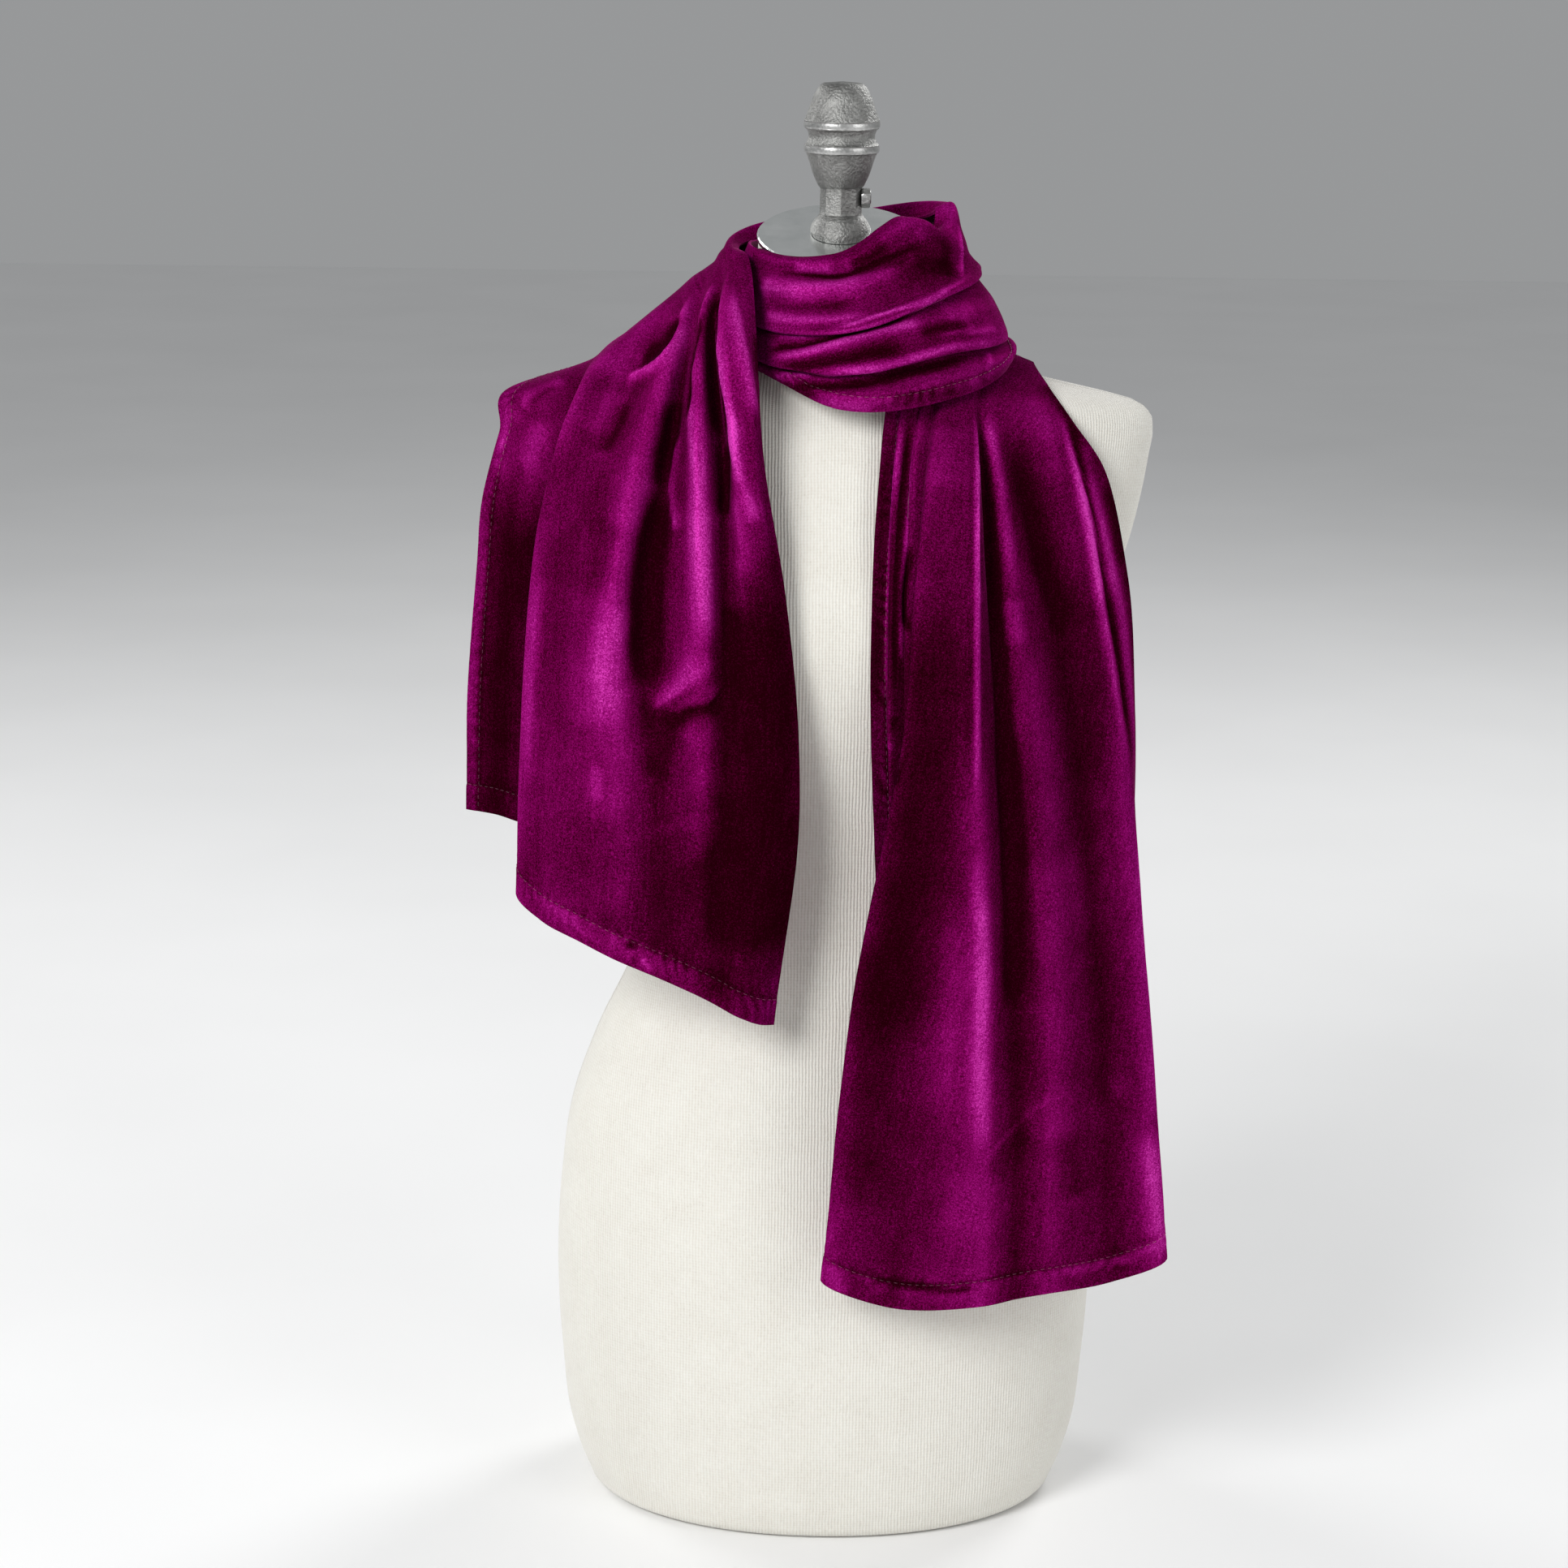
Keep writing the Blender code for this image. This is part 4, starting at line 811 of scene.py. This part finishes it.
# the dress form: height, half width, depth in front and behind, fullness of each level section
formShape = {
    "sections": [
        (0, 150, 106, 108, 2.1),
        (3, 155, 111, 113, 2.1),
        (12, 160, 115, 117, 2.1),
        (40, 170, 118, 121, 2.1),
        (95, 177, 119, 123, 2.1),
        (160, 180, 117, 122, 2.1),
        (220, 177, 114, 117, 2.1),
        (270, 170, 108, 110, 2.05),
        (320, 153, 101, 101, 2.0),
        (370, 130, 94, 92, 2.0),
        (430, 114, 90, 86, 2.0),
        (490, 122, 96, 88, 2.0),
        (550, 144, 108, 94, 2.0),
        (600, 165, 113, 99, 1.95),
        (645, 187, 109, 100, 1.85),
        (680, 196, 101, 99, 1.8),
        (710, 201, 94, 95, 1.75),
        (727, 203, 89, 92, 1.75),
        (738, 200, 85, 89, 1.75),
        (745, 190, 82, 87, 1.75),
        (752, 160, 79, 84, 1.8),
        (758, 132, 76, 81, 1.85),
        (765, 107, 73, 78, 1.9),
        (774, 85, 68, 73, 2.0),
        (786, 69, 62, 67, 2.0),
        (804, 58, 55, 59, 2.0),
        (822, 52.5, 51.5, 53, 2.0),
        (844.0, 51, 51, 51, 2.0),
    ],
    "bustHeight": 606, "bustApart": 78, "bustSpread": 52, "bustRise": 17, "leanFrom": 790,
    "ring": 180, "rowHeight": 4.0, "sharpAngle": math.radians(50),
}
# its ribbed knit cover: pitches and drifts in millimetres and turns of the wave, tones of each part of the knit
jerseyFinish = {
    "stops": [(0.0, (0.46, 0.42, 0.35)), (0.45, (0.74, 0.71, 0.64)), (0.8, (0.82, 0.81, 0.75)),
              (1.0, (0.87, 0.86, 0.81))],
    "drift": 45.0, "fuzz": 620.0, "flecks": 260.0,
    "ribPitch": 2.1, "ribWander": 5.0, "coursePitch": 1.9, "courseWander": 6.0,
    "tone": 0.62, "ribTone": 0.16, "courseTone": 0.05, "fuzzTone": 0.35, "driftTone": 0.25, "fleckTone": 0.3,
    "roughness": 0.86, "bump": (0.6, 0.0005),
}


def jerseyMaterial():
    f = jerseyFinish
    material, shade, shader, place = newMaterial("ribbedJersey", {
        "Specular IOR Level": 0.25, "Sheen Weight": 0.25, "Sheen Roughness": 0.5})
    drift = speckle(shade, place, f["drift"], 3.0)
    fuzz = speckle(shade, place, f["fuzz"], 3.0)
    flecks = speckle(shade, place, f["flecks"], 5.0, 0.7)
    rib = ribs(shade, attribute(shade, "around"), f["ribPitch"], drift * f["ribWander"])
    course = ribs(shade, attribute(shade, "up"), f["coursePitch"], drift * f["courseWander"])
    tone = (f["tone"] + rib * f["ribTone"] + course * f["courseTone"] + (fuzz - 0.5) * f["fuzzTone"]
            + (drift - 0.5) * f["driftTone"] + (flecks - 0.5) * f["fleckTone"])
    shade.plug(shader, {
        "Base Color": colourRamp(shade, tone, f["stops"]),
        "Roughness": f["roughness"] + (fuzz - 0.5) * 0.1,
        "Normal": bumped(shade, rib * 0.5 + course * 0.15 + fuzz * 0.8, *f["bump"])})
    return material


def makeForm():
    f = formShape
    rows = np.array(f["sections"], float)
    heights = rows[:, 0]
    levels = []
    for low, high in zip(heights, heights[1:]):
        count = math.ceil((high - low) / f["rowHeight"])
        levels += [low + (high - low) * step / count for step in range(count)]
    levels = np.array(levels + [heights[-1]])
    half, frontDepth, backDepth, fullness = curveThrough(heights, rows[:, 1:], levels).T
    count = f["ring"]
    angle = 2 * math.pi * np.arange(count) / count
    sine, cosine = np.sin(angle), np.cos(angle)
    power = 2 / fullness[:, None]
    x = half[:, None] * np.sign(sine) * np.abs(sine) ** power
    depth = np.where(cosine > 0, frontDepth[:, None], backDepth[:, None])
    y = -depth * np.sign(cosine) * np.abs(cosine) ** power
    for side in (-1, 1):
        offset = ((x - side * f["bustApart"]) ** 2
                  + (levels[:, None] - f["bustHeight"]) ** 2) / f["bustSpread"] ** 2
        y -= f["bustRise"] * np.exp(-offset) * np.sqrt(np.clip(cosine, 0, 1))
    lean = np.clip((levels[:, None] - f["leanFrom"]) / (heights[-1] - f["leanFrom"]), 0, 1)
    z = levels[:, None] + y * math.tan(plateTilt) * lean
    points = np.stack([x, y, z], axis=2)
    last = (len(levels) - 1) * count
    faces = ringFaces(len(levels), count)
    faces += [tuple(reversed(range(count))), tuple(range(last, last + count))]
    made = newMesh("dressForm", points.reshape(-1, 3) * mm, faces, [jerseyMaterial()])
    # the knit is counted from the middle of the front and of the back, and meets at the sides
    step = np.linalg.norm(points - np.roll(points, 1, axis=1), axis=2)
    reach = np.cumsum(step, axis=1)
    reach -= reach[:, :1]
    total = reach[:, -1:] + step[:, :1]
    around = np.where(cosine >= 0, np.where(sine >= 0, reach, reach - total), reach - total / 2 + 500)
    rise = np.linalg.norm(np.diff(points, axis=0), axis=2)
    addAttribute(made, "around", around)
    addAttribute(made, "up", np.concatenate([np.zeros((1, count)), np.cumsum(rise, axis=0)]))
    made.data.set_sharp_from_angle(angle=f["sharpAngle"])
    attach(made, "root")
    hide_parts("form_torso")
    return made


makeForm()
print("dress form made")

# the plate on the neck, the cast knob on it and the bolt in the knob's stem, in millimetres:
# each section of the knob is its height, its radius and how far it is cut to eight sides,
# and each one of the bolt's head the share of its length and of its size
metalParts = {
    "neckTop": 844.0, "plateThickness": 4.0, "knobAcross": 0.8, "sides": 96, "between": 5, "facets": 8,
    "sections": [
        (0.0, 18.6, 0.0),
        (2.5, 19.3, 0.0),
        (5.5, 18.2, 0.0),
        (8.8, 16.2, 0.0),
        (11.5, 14.0, 0.3),
        (13.5, 13.4, 1.0),
        (27.5, 13.2, 1.0),
        (29.5, 14.3, 0.4),
        (33.0, 16.0, 0.0),
        (37.5, 18.0, 0.0),
        (44.5, 20.2, 0.0),
        (50.0, 22.3, 0.0),
        (51.5, 23.7, 0.0),
        (55.0, 23.7, 0.0),
        (57.0, 22.2, 0.0),
        (61.0, 20.9, 0.0),
        (64.5, 22.0, 0.0),
        (66.5, 23.9, 0.0),
        (70.0, 23.9, 0.0),
        (72.5, 22.9, 0.0),
        (79.0, 20.5, 0.0),
        (86.0, 18.0, 0.0),
        (91.0, 15.2, 0.0),
        (93.5, 12.4, 0.0),
    ],
    "crown": 1.2, "rings": ((51.2, 55.0), (66.2, 70.0)), "foot": 8.8, "knobSharp": math.radians(38),
    "boltAcross": 12.5, "boltLength": 6.2, "boltHeight": 22.5, "boltSeat": 12.7, "boltSides": 48,
    "boltDome": 0.94, "boltPolish": 0.6, "boltSharp": math.radians(25),
    "boltSections": [(0.0, 0.93), (0.10, 1.0), (0.80, 1.0), (0.93, 0.92), (1.0, 0.80), (1.05, 0.45)],
}
metalFinish = {
    "plateStops": [(0.3, (0.80, 0.83, 0.82)), (0.7, (0.92, 0.94, 0.93))],
    "plateClouds": 60.0, "plateGrain": 900.0, "plateRoughness": 0.17, "plateBump": (0.06, 0.0003),
    "castStops": [(0.2, (0.13, 0.13, 0.125)), (0.5, (0.30, 0.30, 0.29)), (0.9, (0.68, 0.68, 0.67))],
    "castPits": 620.0, "castClouds": 85.0, "castRoughness": 0.50, "castBump": (0.8, 0.0008),
    "cloudTone": 0.5, "pitTone": 0.4, "polishTone": 0.28,
}


def plateMaterial():
    f = metalFinish
    material, shade, shader, place = newMaterial("polishedPlate", {"Metallic": 1.0})
    clouds = speckle(shade, place, f["plateClouds"], 5.0)
    grain = speckle(shade, place, f["plateGrain"])
    shade.plug(shader, {
        "Base Color": colourRamp(shade, clouds, f["plateStops"]),
        "Roughness": f["plateRoughness"] + clouds * 0.10 + grain * 0.05,
        "Normal": bumped(shade, grain, *f["plateBump"])})
    return material


def castMaterial():
    f = metalFinish
    material, shade, shader, place = newMaterial("castMetal", {"Metallic": 1.0})
    polish = attribute(shade, "polish")
    pits = speckle(shade, place, f["castPits"], 5.0)
    clouds = speckle(shade, place, f["castClouds"], 4.0)
    tone = clouds * f["cloudTone"] + pits * f["pitTone"] + polish * f["polishTone"]
    shade.plug(shader, {
        "Base Color": colourRamp(shade, tone, f["castStops"]),
        "Roughness": f["castRoughness"] - polish * 0.14 + (pits - 0.5) * 0.25,
        "Normal": bumped(shade, (pits * 1.3 + clouds) * (1 - polish * 0.85), *f["castBump"])})
    return material


castMetal = castMaterial()


# a flat-sided outline's reach in a direction, as a share of its corners' reach
def flatSided(angle, sides):
    corner = 2 * math.pi / sides
    return math.cos(corner / 2) / math.cos((angle % corner) - corner / 2)


# middle of the knob's foot, just over the plate
def knobFoot():
    m = metalParts
    plateTop = m["neckTop"] * mm + (gap + m["plateThickness"] * mm) / math.cos(plateTilt)
    return np.array([m["knobAcross"] * mm, 0, plateTop + gap])


def makeKnob():
    m = metalParts
    rows = np.array(m["sections"], float)
    knots = np.arange(len(rows), dtype=float)
    wanted = np.linspace(0, knots[-1], (len(rows) - 1) * m["between"] + 1)
    fine = curveThrough(knots, rows, wanted)
    fine[:, 2] = np.clip(fine[:, 2], 0, 1)
    count = m["sides"]
    points, polish = [], []
    for height, radius, faceted in fine:
        shine = max(smoothStep(np.array(1.2 - abs(height - (low + high) / 2) * 2 / (high - low)) * 4)
                    for low, high in m["rings"])
        for step in range(count):
            angle = 2 * math.pi * step / count
            reach = radius * (1 + (flatSided(angle, m["facets"]) - 1) * faceted)
            y = reach * math.sin(angle)
            settle = y * math.tan(plateTilt) * max(0.0, 1 - height / m["foot"])
            points.append((reach * math.cos(angle), y, height + settle))
            polish.append(float(shine))
    crown = len(points)
    points.append((0, 0, fine[-1, 0] + m["crown"]))
    polish.append(0.0)
    last = crown - count
    faces = ringFaces(len(fine), count)
    faces += [(last + k, last + (k + 1) % count, crown) for k in range(count)]
    faces.append(tuple(reversed(range(count))))
    made = newMesh("neckKnob", np.array(points) * mm + knobFoot(), faces, [castMetal])
    addAttribute(made, "polish", polish)
    made.data.set_sharp_from_angle(angle=m["knobSharp"])
    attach(made, "root")
    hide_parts("neck_knob")


# hexagonal head with a turned, domed outer face
def makeBolt():
    m = metalParts
    profile, count, points = m["boltSections"], m["boltSides"], []
    for along, size in profile:
        for k in range(count):
            angle = 2 * math.pi * k / count
            hexagon = m["boltAcross"] / 2 * flatSided(angle, 6)
            reach = min(hexagon, m["boltAcross"] / 2 * size) if size < 1 else hexagon
            points.append((along * m["boltLength"] * m["boltDome"], reach * math.sin(angle), reach * math.cos(angle)))
    last = len(points) - count
    faces = [(a, d, c, b) for a, b, c, d in ringFaces(len(profile), count)]
    faces += [tuple(range(count)), tuple(reversed(range(last, last + count)))]
    place = knobFoot() + np.array([m["boltSeat"] * mm + gap, 0, m["boltHeight"] * mm - gap])
    made = newMesh("knobBolt", np.array(points) * mm + place, faces, [castMetal])
    addAttribute(made, "polish", np.full(len(points), m["boltPolish"]))
    made.data.set_sharp_from_angle(angle=m["boltSharp"])
    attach(made, "root")
    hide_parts("knob_bolt")


makeKnob()
makeBolt()
plateFinish = plateMaterial()
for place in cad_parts["neck_plate"].material_slots:
    place.material = plateFinish
print("metal parts made")

# plain pale floor, soft studio light and the camera
studio = {
    "floorSize": 14.0, "floorColour": (0.93, 0.93, 0.93), "floorShade": 0.97, "floorRoughness": 0.85,
    "world": (0.62, 0.63, 0.64, 1.0), "worldLight": 0.50,
    "lights": [                          # name, place, size, watts
        ("key", (-1.5, -2.3, 2.0), 1.3, 66.0),
        ("fill", (2.4, -2.0, 1.5), 2.0, 22.0),
        ("rim", (1.6, 1.8, 2.2), 1.2, 30.0),
        ("rimLeft", (-2.0, 1.4, 1.8), 1.2, 20.0),
    ],
    "aim": (0.0, 0.0, 0.55),
    "camera": (-0.0306, -2.35, 1.10), "pitch": math.radians(14.6), "roll": math.radians(0.70),
    "lens": 84.75, "sensor": 36.0, "farEnd": 50,
}


# right, up and backward directions of a lamp that shines along aim
def lookAlong(aim):
    backward = -aim / np.linalg.norm(aim)
    right = np.cross((0, 0, 1), backward)
    right /= np.linalg.norm(right)
    return right, np.cross(backward, right), backward


def placed(name, data, place, axes):
    made = bpy.data.objects.new(name, data)
    bpy.context.scene.collection.objects.link(made)
    made.matrix_world = Matrix.Translation(place) @ Matrix(np.column_stack(axes).tolist()).to_4x4()
    return made


def makeStudio():
    s = studio
    half = s["floorSize"] / 2
    material, shade, shader, place = newMaterial("paleFloor", {"Roughness": s["floorRoughness"]})
    mottle = speckle(shade, place, 3.0)
    low = tuple(v * s["floorShade"] for v in s["floorColour"])
    shade.plug(shader, {"Base Color": colourRamp(shade, mottle, [(0.3, low), (0.7, s["floorColour"])])})
    floor = newMesh("floor", [(-half, -half, 0), (half, -half, 0), (half, half, 0), (-half, half, 0)],
                    [(0, 1, 2, 3)], [material])
    world = bpy.data.worlds.new("studio")
    bpy.context.scene.world = world
    world.use_nodes = True
    world.node_tree.nodes["Background"].inputs["Color"].default_value = s["world"]
    world.node_tree.nodes["Background"].inputs["Strength"].default_value = s["worldLight"]
    for name, place, size, watts in s["lights"]:
        light = bpy.data.lights.new(name, "AREA")
        light.shape = "DISK"
        light.size = size
        light.energy = watts
        placed(name, light, place, lookAlong(np.array(s["aim"]) - np.array(place)))
    ahead = np.array([0, math.cos(s["pitch"]), -math.sin(s["pitch"])])
    up = np.array([0, math.sin(s["pitch"]), math.cos(s["pitch"])])
    right = np.array([1.0, 0, 0])
    level, tipped = math.cos(s["roll"]), math.sin(s["roll"])
    data = bpy.data.cameras.new("camera")
    data.lens, data.sensor_width, data.clip_end = s["lens"], s["sensor"], s["farEnd"]
    camera = placed("camera", data, s["camera"],
                    (right * level + up * tipped, up * level - right * tipped, -ahead))
    bpy.context.scene.camera = camera
    bpy.context.scene.view_settings.view_transform = "Standard"


makeStudio()
print("studio made")
